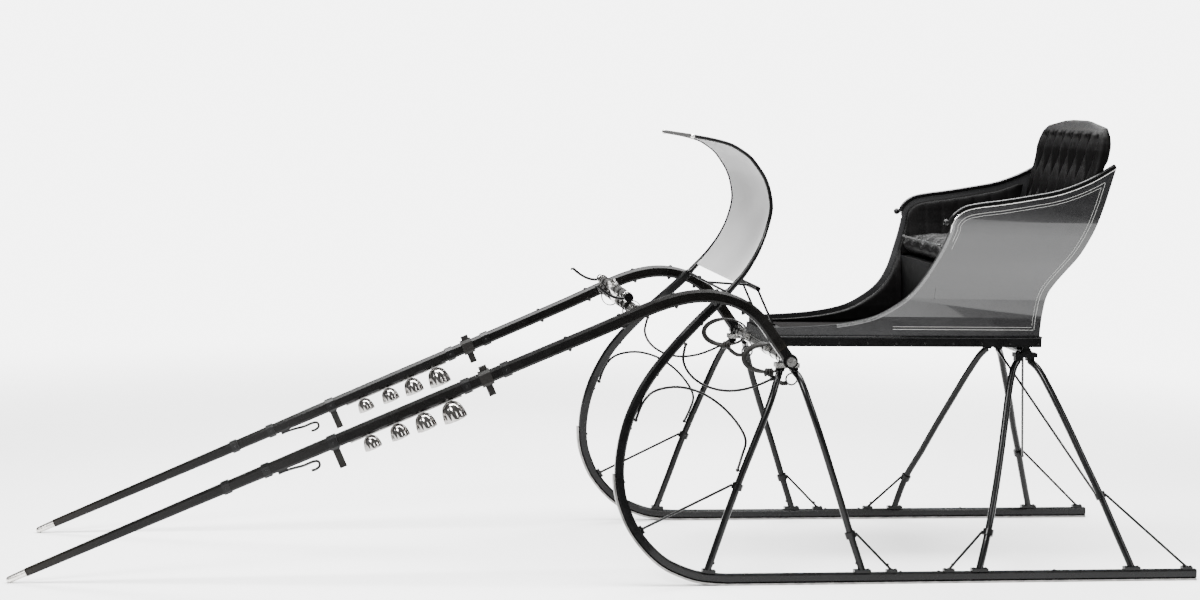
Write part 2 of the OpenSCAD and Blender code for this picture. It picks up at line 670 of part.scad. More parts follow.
// Columns: x and z from the hinge, share of the way out from the tip to the hinge
ARCH = [for (q = [[-594, 86, 0.71], [-534, 113, 0.78], [-474, 140, 0.85], [-414, 166, 0.95],
    [-354, 186, 1.03], [-294, 197, 1.1], [-234, 196, 1.14], [-174, 181, 1.14], [-124, 153, 1.12],
    [-86, 117, 1.07], [-54, 74, 1], [-26, 36, 1]])
    [hinge_x + q[0], mix(tip_half, hinge_y, q[2]), beam_z + q[1]]];
SHAFT = concat(STRAIGHT, curve(ARCH));
// Columns: x, share of the full thickness
SHAFT_SWELL = [[-1800, 0.62], [-1500, 0.74], [-1160, 0.88], [-900, 1], [-300, 1], [200, 1.04], [520, 0.96]];
function swell(x) = look(x, SHAFT_SWELL);

module shaft(side) {
    color(enamel) place() sweep(on_side(SHAFT, side),
        [for (q = SHAFT) shaft_w * swell(q[0])], [for (q = SHAFT) shaft_h * swell(q[0])], BAR);
}

// Where a shaft's centre line passes x, and the frame along it
function station(x) = [x, look(x, [for (q = SHAFT) [q[0], q[1]]]), look(x, [for (q = SHAFT) [q[0], q[2]]])];
function slope(x) = atan2(station(x + 10)[2] - station(x - 10)[2], 20);

// Children are drawn at station x with X along the shaft to the rear and Z square to it
module at_shaft(x, side) {
    p = station(x);
    translate([p[0], side * p[1], p[2]]) rotate([0, -slope(x), 0]) children();
}

module shaft_tips() {
    r = shaft_h * swell(-1800) / 2;
    color(nickel) place() for (side = [left, right])
        translate([-shaft_reach + tip_r, side * tip_half, tip_r]) rotate([0, 90 - shaft_angle, 0]) {
            sphere(r = tip_r, $fn = 40);
            cylinder(r1 = tip_r, r2 = r, h = tip_len - fit, $fn = 40);
        }
}

eye_r = 23;
module shaft_couplings() {
    end = len(SHAFT) - 1;
    t = tangent(SHAFT, end);
    socket = [SHAFT[end] + t, SHAFT[end] + t * 34];
    color(enamel) place() for (side = [left, right]) difference() {
        union() {
            translate([hinge_x, side * hinge_y, beam_z]) tube_y(eye_r, -eye_w / 2, eye_w / 2);
            sweep(on_side(socket, side), shaft_w * swell(520), shaft_h * swell(520), BAR);
        }
        translate([hinge_x, side * hinge_y, beam_z]) tube_y(pin_r + running, -eye_w, eye_w);
    }
}

// Columns: x of a band's middle, length along the shaft
BANDS = [[-1158, 22], [-1040, 22], [-844, 26], [-448, 24], [-330, 24]];
band_t = 3;
module band(x, len, side) {
    path = on_side([station(x - len / 2), station(x), station(x + len / 2)], side);
    sleeve(path, shaft_w * swell(x) + 2 * fit, shaft_h * swell(x) + 2 * fit, band_t);
}

module shaft_bands() {
    color(enamel) place() for (side = [left, right], b = BANDS) band(b[0], b[1], side);
}

// Hooks under the shafts for the breeching straps
module holdback_loops() {
    hook = [[0, -1], [30, -4], [62, -9], [90, -9], [106, -14], [106, -28], [92, -34], [78, -32]];
    under = shaft_h * swell(-1000) / 2 + stay_r + fit;
    path = curve([for (q = hook) [q[0], 0, q[1] - under]]);
    color(enamel) place() for (side = [left, right]) at_shaft(-1000, side) {
        sweep(path, stay_d + 4, stay_d);
        translate([0, 0, -under]) cube([30, 18, stay_d], center = true);
    }
}

strap_tab = [22, 6, 60];
module holdback_straps() {
    drop = shaft_h / 2 + fit + band_t + fit;
    color(leather) place() for (side = [left, right]) at_shaft(-844, side)
        translate([-strap_tab[0] / 2, -strap_tab[1] / 2, -drop - strap_tab[2]]) cube(strap_tab);
}

// Leather stops that the harness tugs bear on
module tug_stops() {
    x = -390;
    t = 5;
    h = shaft_h + 2 * fit;
    path = [station(x - 17), station(x), station(x + 17)];
    color(leather) place() for (side = [left, right]) {
        sleeve(on_side(path, side), shaft_w + 2 * fit, h, t);
        at_shaft(x, side) {
            translate([-10, -11, h / 2 + t - 2]) cube([24, 22, 15]);
            translate([-11, -3, -h / 2 - t - 34]) cube([22, 6, 36]);
        }
    }
}

// Columns: x of a bell's middle, diameter and height as shares of the largest bell's diameter
BELLS = [[-748, 0.74, 0.54], [-668, 0.79, 0.58], [-592, 0.87, 0.66], [-510, 1, 0.77]];
bell_t = 2;
strap_drop = shaft_h / 2 + fit;
bell_strap_t = 4;
// A fluted gong bell: a domed shell with its mouth turned away from the shaft
module bell(d, h) {
    function dome(r, k, a) = [r * cos(a), k * sin(a)];
    outer = [for (a = [0 : 15 : 90]) dome(d / 2, h, a)];
    inner = [for (a = [90 : -15 : 0]) dome(d / 2 - bell_t, h - bell_t, a)];
    difference() {
        rotate_extrude($fn = 48) polygon(concat([[0, 0]], outer));
        translate([0, 0, -0.01]) rotate_extrude($fn = 48) polygon(concat([[0, 0]], inner));
    }
}

module bells(side) {
    color(nickel) place() for (b = BELLS) {
        h = bell_d * b[2];
        at_shaft(b[0], side) translate([0, 0, -strap_drop - bell_strap_t - fit - h]) bell(bell_d * b[1], h);
    }
}

module bell_straps() {
    path = [for (x = [-800, -650, -470]) station(x) - [-sin(shaft_angle), 0, cos(shaft_angle)]
        * (strap_drop + bell_strap_t / 2)];
    color(steel) place() for (side = [left, right]) sweep(on_side(path, side), 18, bell_strap_t, FLAT);
}

// ---- draught gear -------------------------------------------------------
bar_x = 66;
bar_r = 15;
tree_r = 15;
tree_up = 42;         // centre of the crossbar to the centre of the singletree
bolt_r = pivot_d / 2;
plate_r = 24;
bar_gap = shaft_w * swell(bar_x) / 2 + fit;

module crossbar() {
    splay = (station(bar_x + 20)[1] - station(bar_x - 20)[1]) / 40;
    half = station(bar_x)[1] - bar_gap - bar_r * splay;
    bolt_top = tree_up + tree_r + 12;
    color(nickel) place() at_shaft_middle() {
        tube_y(bar_r, -half, half);
        for (side = [left, right]) scale([1, side, 1]) tube_y(bar_r + 6, half - 26, half - 2);
        tube_y(bar_r + 4, -34, 34);
        cylinder(r = plate_r, h = tree_up - tree_r - 1, $fn = 40);
        cylinder(r = bolt_r, h = bolt_top, $fn = 40);
        translate([0, 0, tree_up + tree_r + 3]) cylinder(r = bolt_r + 6, h = 9, $fn = 6);
    }
}

module at_shaft_middle() {
    p = station(bar_x);
    translate([p[0], 0, p[2]]) rotate([0, -slope(bar_x), 0]) children();
}

ferrule_len = 34;
module singletree() {
    half = singletree_len / 2 - ferrule_len;
    color(nickel) place() at_shaft_middle() translate([0, 0, tree_up]) difference() {
        union() {
            rotate([-90, 0, 0]) cylinder(r1 = tree_r, r2 = tree_r - 3, h = half, $fn = 48);
            rotate([90, 0, 0]) cylinder(r1 = tree_r, r2 = tree_r - 3, h = half, $fn = 48);
            cylinder(r = bolt_r + 10, h = 2 * tree_r + 2, center = true, $fn = 40);
        }
        cylinder(r = bolt_r + running, h = 90, center = true, $fn = 48);
    }
}

hook_r = 4.5;
module trace_hooks() {
    half = singletree_len / 2;
    spike = [[0, 0], [-22, 6], [-44, 22], [-62, 46], [-74, 70]];
    color(enamel) place() at_shaft_middle() translate([0, 0, tree_up]) for (side = [left, right]) {
        scale([1, side, 1]) tube_y(tree_r - 1, half - ferrule_len + fit, half);
        sweep(curve([for (q = spike) [q[0], side * (half - 14), q[1]]]), 2 * hook_r, 2 * hook_r);
    }
}

runner(left);  // runner_left
runner(right);  // runner_right
shoe(left);  // shoe_left
shoe(right);  // shoe_right
dash_iron(left);  // dash_iron_left
dash_iron(right);  // dash_iron_right
dash_panel();
dash_top_rail();
toe_rail();
legs_front(left);  // legs_front_left
legs_front(right);  // legs_front_right
legs_rear(left);  // legs_rear_left
legs_rear(right);  // legs_rear_right
braces_front(left);  // braces_front_left
braces_front(right);  // braces_front_right
braces_rear(left);  // braces_rear_left
braces_rear(right);  // braces_rear_right
scrolls(left);  // scrolls_left
scrolls(right);  // scrolls_right
front_beam();
rear_beam();
rear_stays();
beam_straps();
sill_frame();
floor_board();
toe_board();
side_panel(left);  // side_panel_left
side_panel(right);  // side_panel_right
back_panel();
arm_rail(left);  // arm_rail_left
arm_rail(right);  // arm_rail_right
seat_riser();
seat_board();
side_lining(left);  // side_lining_left
side_lining(right);  // side_lining_right
seat_cushion();
back_cushion();
floor_mat();
shaft(left);  // shaft_left
shaft(right);  // shaft_right
shaft_tips();
shaft_couplings();
shaft_bands();
holdback_loops();
holdback_straps();
tug_stops();
bells(left);  // bells_left
bells(right);  // bells_right
bell_straps();
crossbar();
singletree();
trace_hooks();
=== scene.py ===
"""Looks for a light horse-drawn cutter: enamel, varnish, nickel, tufted leather and small fittings.

The sleigh faces -X, with its left side at -Y and the ground at Z = 0. Lengths are in metres.
"""
import json
import math
import random

import bmesh
import bpy
import numpy as np
from mathutils import Matrix, Vector
from mathutils.bvhtree import BVHTree


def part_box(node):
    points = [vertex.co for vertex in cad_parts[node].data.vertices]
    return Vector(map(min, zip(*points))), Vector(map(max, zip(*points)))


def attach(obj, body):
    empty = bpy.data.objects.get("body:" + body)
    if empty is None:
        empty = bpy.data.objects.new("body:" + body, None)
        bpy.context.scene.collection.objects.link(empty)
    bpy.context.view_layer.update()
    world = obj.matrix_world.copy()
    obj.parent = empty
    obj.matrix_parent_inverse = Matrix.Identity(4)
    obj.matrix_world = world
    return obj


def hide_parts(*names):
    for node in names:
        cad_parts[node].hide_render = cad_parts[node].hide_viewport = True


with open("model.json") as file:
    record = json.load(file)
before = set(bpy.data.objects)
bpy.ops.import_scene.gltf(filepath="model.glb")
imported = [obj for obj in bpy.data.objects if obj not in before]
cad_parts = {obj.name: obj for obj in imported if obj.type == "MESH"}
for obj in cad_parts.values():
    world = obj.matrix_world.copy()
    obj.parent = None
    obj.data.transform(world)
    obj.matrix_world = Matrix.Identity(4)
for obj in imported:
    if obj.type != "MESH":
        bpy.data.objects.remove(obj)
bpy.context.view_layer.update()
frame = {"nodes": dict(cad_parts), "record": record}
nodes = frame["nodes"]
SIDES = {"left": -1, "right": 1}
X, Y, Z = Vector((1, 0, 0)), Vector((0, 1, 0)), Vector((0, 0, 1))
FAR = 3              # further than the sleigh reaches, for a ray's start
DRIFT = (0.3, 0.7)   # the noise values between which a colour drifts
WORN = (0.56, 0.68)  # the pointiness where wear begins, and where it is full
SCRATCHES = 140      # cycles per metre
WELD = 1e-4          # joins the vertices of a CAD mesh's separate faces
SHADE_ANGLE = 40     # degrees: flatter edges of CAD pieces are shaded smooth


# ---- reading the frame ----------------------------------------------------
trees = {}


def tree(node):
    """A CAD node's faces for ray casts, made once."""
    if node not in trees:
        mesh = nodes[node].data
        points = [v.co.copy() for v in mesh.vertices]
        trees[node] = BVHTree.FromPolygons(points, [tuple(p.vertices) for p in mesh.polygons])
    return trees[node]


def hit(node, start, direction):
    """Where a ray first meets a CAD node, and that surface's normal, or (None, None)."""
    point, normal, _, _ = tree(node).ray_cast(Vector(start), Vector(direction))
    return point, normal


def section(node, axis, value, keep=None):
    """Points where a CAD node's edges cross the plane axis = value. keep(point) may leave some out."""
    mesh = nodes[node].data
    found = []
    for edge in mesh.edges:
        a, b = (mesh.vertices[i].co for i in edge.vertices)
        if (a[axis] - value) * (b[axis] - value) < 0:
            point = a.lerp(b, (value - a[axis]) / (b[axis] - a[axis]))
            if keep is None or keep(point):
                found.append(point)
    return found


def middle(points):
    """The middle of the points' box."""
    low = Vector([min(p[k] for p in points) for k in range(3)])
    high = Vector([max(p[k] for p in points) for k in range(3)])
    return (low + high) / 2


def solids(node):
    """The vertices of each separate solid of a CAD node, in the mesh's order so that every run agrees."""
    mesh = bmesh.new()
    mesh.from_mesh(nodes[node].data)
    bmesh.ops.remove_doubles(mesh, verts=mesh.verts, dist=1e-5)
    left, found = dict.fromkeys(mesh.verts), []
    while left:
        first = next(iter(left))
        del left[first]
        todo, group = [first], []
        while todo:
            vert = todo.pop()
            group.append(vert.co.copy())
            for edge in vert.link_edges:
                other = edge.other_vert(vert)
                if other in left:
                    del left[other]
                    todo.append(other)
        found.append(group)
    mesh.free()
    return found


# ---- materials ------------------------------------------------------------
def material(name, color, rough, metal=0.0, coat=0.0, coat_rough=0.08, vary=0.2, patch=9.0, rough_vary=0.3,
             grain=None, fine=None, specular=0.5, sheen=0.0, wear=None):
    """A Principled material whose colour and roughness drift over the surface.

    patch and the two bumps' scales are in cycles per metre. grain and fine are (scale, depth) of a cell bump
    and a noise bump. wear is the colour that shows through on convex edges.
    """
    mat = bpy.data.materials.new(name)
    mat.use_nodes = True
    new, link = mat.node_tree.nodes.new, mat.node_tree.links.new
    shader = mat.node_tree.nodes["Principled BSDF"]
    shader.inputs["Metallic"].default_value = metal
    shader.inputs["Coat Weight"].default_value = coat
    shader.inputs["Coat Roughness"].default_value = coat_rough
    shader.inputs["Specular IOR Level"].default_value = specular
    shader.inputs["Sheen Weight"].default_value = sheen
    place = new("ShaderNodeTexCoord")

    def noise(scale, detail=3.0):
        node = new("ShaderNodeTexNoise")
        node.inputs["Scale"].default_value = scale
        node.inputs["Detail"].default_value = detail
        link(place.outputs["Object"], node.inputs["Vector"])
        return node

    drift = noise(patch)
    ramp = new("ShaderNodeValToRGB")
    dark, light = ramp.color_ramp.elements
    dark.position, light.position = DRIFT
    dark.color = [c * (1 - vary) for c in color] + [1]
    light.color = [min(1, c * (1 + vary)) for c in color] + [1]
    link(drift.outputs["Fac"], ramp.inputs["Fac"])
    out = ramp.outputs["Color"]
    if wear:
        edge = new("ShaderNodeNewGeometry")
        sharp = new("ShaderNodeMapRange")
        sharp.inputs["From Min"].default_value, sharp.inputs["From Max"].default_value = WORN
        scratch = noise(SCRATCHES, 6)
        both = new("ShaderNodeMath")
        both.operation = "MULTIPLY"
        blend = new("ShaderNodeMix")
        blend.data_type = "RGBA"
        # sockets 6 and 7 are the two colours of a colour mix, and output 2 is its result
        blend.inputs[7].default_value = list(wear) + [1]
        link(edge.outputs["Pointiness"], sharp.inputs["Value"])
        link(sharp.outputs["Result"], both.inputs[0])
        link(scratch.outputs["Fac"], both.inputs[1])
        link(both.outputs[0], blend.inputs["Factor"])
        link(out, blend.inputs[6])
        out = blend.outputs[2]
    link(out, shader.inputs["Base Color"])
    gloss = new("ShaderNodeMapRange")
    gloss.inputs["To Min"].default_value = rough * (1 - rough_vary)
    gloss.inputs["To Max"].default_value = min(1, rough * (1 + rough_vary))
    link(noise(patch * 4).outputs["Fac"], gloss.inputs["Value"])
    link(gloss.outputs["Result"], shader.inputs["Roughness"])
    normal = None
    for kind, pair in (("cell", grain), ("noise", fine)):
        if not pair:
            continue
        if kind == "cell":
            height = new("ShaderNodeTexVoronoi")
            height.inputs["Scale"].default_value = pair[0]
            link(place.outputs["Object"], height.inputs["Vector"])
            value = height.outputs["Distance"]
        else:
            value = noise(pair[0], 4).outputs["Fac"]
        bump = new("ShaderNodeBump")
        bump.inputs["Distance"].default_value = pair[1]
        link(value, bump.inputs["Height"])
        if normal:
            link(normal, bump.inputs["Normal"])
        normal = bump.outputs["Normal"]
    if normal:
        link(normal, shader.inputs["Normal"])
    return mat


BLACK = (0.0016, 0.0016, 0.0017)
enamel = material("coach_enamel", BLACK, 0.28, coat=0.1, coat_rough=0.06, vary=0.4,
                  fine=(55, 0.00025), specular=0.13)
shaft_enamel = material("shaft_enamel", (0.0015, 0.0014, 0.0013), 0.27, coat=0.06, coat_rough=0.06, vary=0.4,
                        fine=(70, 0.0002), specular=0.1, wear=(0.02, 0.017, 0.014))
box_enamel = material("box_enamel", BLACK, 0.42, vary=0.4, patch=6, fine=(40, 0.0002), specular=0.12)
body_paint = material("body_varnish", (0.011, 0.011, 0.0115), 0.22, coat=0.5, coat_rough=0.02, vary=0.08, patch=5,
                      fine=(28, 0.00012))
trim_paint = material("line_paint", (0.26, 0.26, 0.25), 0.4, coat=0.6, vary=0.1, patch=60)
# a lighter grey for the side panels' front edges: a painted highlight, not the paint's own colour
painted_edge_highlight = material("edge_highlight_paint", (0.06, 0.06, 0.06), 0.28, coat=0.8, vary=0.08, patch=20)
nickel = material("nickel_plate", (0.72, 0.71, 0.69), 0.16, metal=1.0, vary=0.07, patch=25, rough_vary=0.5,
                  fine=(120, 0.0001))
worn_nickel = material("worn_nickel", (0.6, 0.58, 0.55), 0.28, metal=1.0, vary=0.18, patch=40, rough_vary=0.5,
                       fine=(200, 0.00012))
bell_metal = material("bell_nickel", (0.3, 0.29, 0.28), 0.13, metal=1.0, vary=0.15, patch=30, rough_vary=0.4,
                      fine=(150, 0.0001))
sheet_metal = material("dash_sheet", (0.42, 0.42, 0.42), 0.34, coat=0.4, coat_rough=0.15, vary=0.05, patch=5,
                       fine=(7, 0.0002))
shoe_steel = material("shoe_steel", (0.2, 0.195, 0.19), 0.42, metal=1.0, vary=0.35, patch=30, rough_vary=0.4,
                      fine=(300, 0.00015))
leather = material("upholstery_leather", (0.0014, 0.0013, 0.0013), 0.42, vary=0.35, patch=14, grain=(620, 0.00035),
                   fine=(45, 0.0006), specular=0.05)
strap_leather = material("harness_leather", (0.005, 0.0045, 0.004), 0.45, vary=0.45, patch=30, grain=(900, 0.0002),
                         fine=(110, 0.0004), specular=0.14)
carpet = material("carpet", (0.006, 0.0055, 0.0055), 0.95, vary=0.5, patch=220, fine=(900, 0.0012), specular=0.04)
binding = material("mat_binding", (0.01, 0.01, 0.01), 0.6, vary=0.3, patch=60, grain=(700, 0.0004))
thread = material("welt", (0.012, 0.012, 0.012), 0.38, vary=0.3, patch=90, grain=(800, 0.0002))

MATERIALS = {
    shaft_enamel: ["shaft_left", "shaft_right"],
    enamel: ["runner_left", "runner_right", "dash_iron_left", "dash_iron_right", "toe_rail", "legs_front_left",
             "legs_front_right", "legs_rear_left", "legs_rear_right", "braces_front_left", "braces_front_right",
             "braces_rear_left", "braces_rear_right", "scrolls_left", "scrolls_right", "rear_beam", "rear_stays",
             "sill_frame", "arm_rail_left", "arm_rail_right", "shaft_couplings", "shaft_bands",
             "holdback_loops", "trace_hooks"],
    box_enamel: ["floor_board", "toe_board", "seat_riser", "seat_board"],
    shoe_steel: ["shoe_left", "shoe_right", "bell_straps"],
    nickel: ["front_beam", "crossbar", "singletree", "dash_top_rail"],
    worn_nickel: ["shaft_tips"],
    sheet_metal: ["dash_panel"],
    body_paint: ["side_panel_left", "side_panel_right", "back_panel"],
    strap_leather: ["beam_straps", "holdback_straps", "tug_stops"],
}


def rounded_shading():
    """A modifier's nodes that shade faces smooth across every edge flatter than SHADE_ANGLE."""
    group = bpy.data.node_groups.new("rounded_shading", "GeometryNodeTree")
    group.interface.new_socket("Geometry", in_out="INPUT", socket_type="NodeSocketGeometry")
    group.interface.new_socket("Geometry", in_out="OUTPUT", socket_type="NodeSocketGeometry")
    new, link = group.nodes.new, group.links.new
    start, end = new("NodeGroupInput"), new("NodeGroupOutput")
    weld = new("GeometryNodeMergeByDistance")
    weld.inputs["Distance"].default_value = WELD
    bare = new("GeometryNodeRemoveAttribute")
    bare.inputs["Name"].default_value = "custom_normal"
    faces = new("GeometryNodeSetShadeSmooth")
    faces.domain = "FACE"
    edges = new("GeometryNodeSetShadeSmooth")
    edges.domain = "EDGE"
    edges.inputs["Shade Smooth"].default_value = False
    angle = new("GeometryNodeInputMeshEdgeAngle")
    sharp = new("FunctionNodeCompare")
    sharp.operation = "GREATER_THAN"
    sharp.inputs[1].default_value = math.radians(SHADE_ANGLE)
    link(start.outputs[0], weld.inputs["Geometry"])
    link(weld.outputs[0], bare.inputs["Geometry"])
    link(bare.outputs[0], faces.inputs["Geometry"])
    link(faces.outputs[0], edges.inputs["Geometry"])
    link(angle.outputs["Unsigned Angle"], sharp.inputs[0])
    link(sharp.outputs[0], edges.inputs["Selection"])
    link(edges.outputs[0], end.inputs[0])
    return group


shading = rounded_shading()
for finish, names in MATERIALS.items():
    for name in names:
        for slot in nodes[name].material_slots:
            slot.material = finish
        nodes[name].modifiers.new("rounded", "NODES").node_group = shading


# ---- building shapes ------------------------------------------------------
def piece(name, shapes, finish, body, smooth=True, angle=50):
    """One object from a list of (points, faces), shaded smooth up to an angle in degrees."""
    mesh = bpy.data.meshes.new(name)
    points, faces = [], []
    for verts, polys in shapes:
        faces += [[i + len(points) for i in poly] for poly in polys]
        points += [tuple(v) for v in verts]
    mesh.from_pydata(points, [], faces)
    mesh.validate()
    work = bmesh.new()
    work.from_mesh(mesh)
    bmesh.ops.recalc_face_normals(work, faces=work.faces)
    for face in work.faces:
        face.smooth = smooth
    for edge in work.edges:
        edge.smooth = not (edge.is_manifold and edge.calc_face_angle(0) > math.radians(angle))
    work.to_mesh(mesh)
    work.free()
    obj = bpy.data.objects.new(name, mesh)
    bpy.context.scene.collection.objects.link(obj)
    mesh.materials.append(finish)
    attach(obj, body)
    return obj


def basis(up):
    """Three axes at right angles, the last along up."""
    up = Vector(up).normalized()
    side = up.cross(X if abs(up.x) < 0.9 else Y).normalized()
    return side, up.cross(side), up


def lathe(profile, at, up, sides=20, flute=None):
    """A solid of revolution: profile is (radius, height) from its lowest to its highest point on the axis.

    flute(angle, radius, height) may change a point's radius.
    """
    a, b, c = basis(up)
    at = Vector(at)
    points = []
    for r, h in profile:
        for k in range(sides):
            t = 2 * math.pi * k / sides
            s = flute(t, r, h) if flute else r
            points.append(at + a * (s * math.cos(t)) + b * (s * math.sin(t)) + c * h)
    faces = [[i * sides + k, i * sides + (k + 1) % sides, (i + 1) * sides + (k + 1) % sides, (i + 1) * sides + k]
             for i in range(len(profile) - 1) for k in range(sides)]
    faces.append(list(range(sides)))
    faces.append([(len(profile) - 1) * sides + k for k in range(sides)][::-1])
    return points, faces


def dome(at, up, r, h=None):
    """A round bolt head on a thin collar."""
    h = h or r * 0.7
    collar, rise = r * 1.25, 0.0008
    steps = [(collar, -rise), (collar, rise), (r, rise)]
    steps += [(r * math.cos(t), rise + h * math.sin(t)) for t in (0.35, 0.75, 1.15, 1.5)]
    return lathe(steps, at, up, 14)


def nut(at, up, r, h):
    """A hexagon nut with the rounded end of its bolt."""
    steps = [(r, -0.001), (r, h * 0.85), (r * 0.86, h)]
    end = [(r * 0.5, h - 0.001), (r * 0.5, h + r * 0.3), (r * 0.3, h + r * 0.45)]
    return [lathe(steps, at, up, 6), lathe(end, at, up, 12)]


def frames(path, closed=False):
    """The path's direction at each of its points."""
    count = len(path)
    result = []
    for i in range(count):
        a = path[(i - 1) % count] if closed else path[max(i - 1, 0)]
        b = path[(i + 1) % count] if closed else path[min(i + 1, count - 1)]
        result.append((b - a).normalized())
    return result


def sweep(path, shape, ups, closed=False):
    """A bar along a path. shape is the section as (side, up) offsets, and ups gives each point's up."""
    path = [Vector(p) for p in path]
    points, k = [], len(shape)
    for p, along, up in zip(path, frames(path, closed), ups):
        side = along.cross(up).normalized()
        up = side.cross(along)
        points += [p + side * s + up * u for s, u in shape]
    count = len(path)
    spans = count if closed else count - 1
    faces = [[i * k + j, i * k + (j + 1) % k, ((i + 1) % count) * k + (j + 1) % k, ((i + 1) % count) * k + j]
             for i in range(spans) for j in range(k)]
    if not closed:
        faces += [list(range(k)), [(count - 1) * k + j for j in range(k)][::-1]]
    return points, faces


def circle(r, sides=8):
    """The section of a round bar."""
    turn = [2 * math.pi * k / sides for k in range(sides)]
    return [(r * math.cos(t), r * math.sin(t)) for t in turn]


def strip(w, t):
    """The section of a flat strap with rounded edges, lying on its path."""
    return [(-w / 2, t * 0.25), (-w / 2, t * 0.75), (-w * 0.42, t), (w * 0.42, t), (w / 2, t * 0.75),
            (w / 2, t * 0.25), (w * 0.42, 0), (-w * 0.42, 0)]


def ring(at, axis, r, section_, sides=28, squeeze=(1, 1)):
    """A band bent round an axis. squeeze scales its two diameters."""
    a, b, _ = basis(axis)
    turn = [2 * math.pi * k / sides for k in range(sides)]
    spokes = [a * math.cos(t) * squeeze[0] + b * math.sin(t) * squeeze[1] for t in turn]
    return sweep([Vector(at) + s * r for s in spokes], section_, spokes, closed=True)


def smooth_path(stations, steps=6):
    """A Catmull-Rom curve through the stations."""
    p = [Vector(s) for s in stations]
    result = []
    for i in range(len(p) - 1):
        a, b, c, d = p[max(i - 1, 0)], p[i], p[i + 1], p[min(i + 2, len(p) - 1)]
        for k in range(steps):
            t = k / steps
            result.append(0.5 * (2 * b + (c - a) * t + (2 * a - 5 * b + 4 * c - d) * t * t
                                 + (3 * b - a - 3 * c + d) * t ** 3))
    return result + [p[-1]]


# ---- camera, light and floor ----------------------------------------------
def camera():
    """The photograph's view, from its perspective: on the left, opposite the shafts' middle, at eye height."""
    yaw, pitch, roll = (math.radians(a) for a in (7.89, 5.84, 1.2))
    ahead = Vector((math.sin(yaw) * math.cos(pitch), math.cos(yaw) * math.cos(pitch), -math.sin(pitch)))
    right = Vector((math.cos(yaw), -math.sin(yaw), 0))
    up = right.cross(ahead)
    right, up = right * math.cos(roll) + up * math.sin(roll), up * math.cos(roll) - right * math.sin(roll)
    data = bpy.data.cameras.new("camera")
    data.sensor_width = 36
    data.lens = 63.59
    obj = bpy.data.objects.new("camera", data)
    obj.matrix_world = Matrix((right, up, -ahead)).transposed().to_4x4()
    obj.location = (-0.9393, -6.677, 1.506)
    bpy.context.scene.collection.objects.link(obj)
    bpy.context.scene.camera = obj


def area_light(name, at, towards, size, watts):
    """A soft box that lights the sleigh and isn't seen itself."""
    data = bpy.data.lights.new(name, "AREA")
    data.shape = "RECTANGLE"
    data.size, data.size_y = size
    data.energy = watts
    obj = bpy.data.objects.new(name, data)
    obj.location = at
    obj.visible_camera = False
    obj.rotation_euler = (Vector(towards) - Vector(at)).to_track_quat("-Z", "Y").to_euler()
    bpy.context.scene.collection.objects.link(obj)


def stage_plane(name, areas, z, finish):
    """Level sheets on the stage, each given as (x0, x1, y0, y1)."""
    points = [(x, y, z) for x0, x1, y0, y1 in areas for x, y in ((x0, y0), (x1, y0), (x1, y1), (x0, y1))]
    mesh = bpy.data.meshes.new(name)
    mesh.from_pydata(points, [], [[4 * i, 4 * i + 1, 4 * i + 2, 4 * i + 3] for i in range(len(areas))])
    mesh.materials.append(finish)
    obj = bpy.data.objects.new(name, mesh)
    bpy.context.scene.collection.objects.link(obj)
    return obj


def studio():
    """A pale floor that fades into a pale background, in a dim room, under soft boxes."""
    world = bpy.data.worlds.new("studio")
    bpy.context.scene.world = world
    world.use_nodes = True
    new, link = world.node_tree.nodes.new, world.node_tree.links.new
    sky = world.node_tree.nodes["Background"]
    sky.inputs["Color"].default_value = (1, 1, 1, 1)
    # the background is bright to look at, but gives little light and no reflections
    ray, strength = new("ShaderNodeLightPath"), new("ShaderNodeMapRange")
    room_light, backdrop = 0.22, 6.0
    strength.inputs["To Min"].default_value = room_light
    strength.inputs["To Max"].default_value = backdrop
    link(ray.outputs["Is Camera Ray"], strength.inputs["Value"])
    link(strength.outputs["Result"], sky.inputs["Strength"])
    paper = material("paper", (0.8, 0.8, 0.8), 0.8, vary=0.02, patch=0.7, rough_vary=0.1, specular=0.1)
    new, link = paper.node_tree.nodes.new, paper.node_tree.links.new
    place, length, fade = new("ShaderNodeTexCoord"), new("ShaderNodeVectorMath"), new("ShaderNodeMapRange")
    clear, both = new("ShaderNodeBsdfTransparent"), new("ShaderNodeMixShader")
    length.operation = "LENGTH"
    fade.interpolation_type = "SMOOTHSTEP"
    solid_to, clear_from = 2.6, 5.8
    fade.inputs["From Min"].default_value = solid_to
    fade.inputs["From Max"].default_value = clear_from
    link(place.outputs["Object"], length.inputs[0])
    link(length.outputs["Value"], fade.inputs["Value"])
    link(fade.outputs["Result"], both.inputs["Fac"])
    link(paper.node_tree.nodes["Principled BSDF"].outputs[0], both.inputs[1])
    link(clear.outputs[0], both.inputs[2])
    link(both.outputs[0], paper.node_tree.nodes["Material Output"].inputs["Surface"])
    stage_plane("floor", [(-6, 6, -6, 6)], 0, paper)
    # A dark cloth on the floor in front of the stage shows only in the varnish, as the dark room did
    dark = material("dark_cloth", (0.004, 0.004, 0.004), 0.9, specular=0)
    cloth = stage_plane("dark_cloth", [(-9, 9, -3.8, -2.5), (2.6, 9, -4.9, -3.8), (-9, 9, -14, -4.9)], 0.01, dark)
    cloth.visible_camera = False
    cloth.visible_diffuse = False
    cloth.visible_shadow = False
    area_light("top", (0.2, -0.4, 5.2), (0.2, 0.1, 0), (7.0, 1.6), 1350)
    area_light("key", (-3.4, -4.6, 4.4), (0.3, 0.2, 0.5), (2.4, 2.0), 800)
    area_light("rear", (0.6, 3.4, 4.6), (0.2, 0.4, 0.2), (6.0, 1.4), 700)
    area_light("fill", (4.4, -3.2, 3.2), (0.6, 0, 0.6), (1.6, 1.6), 160)


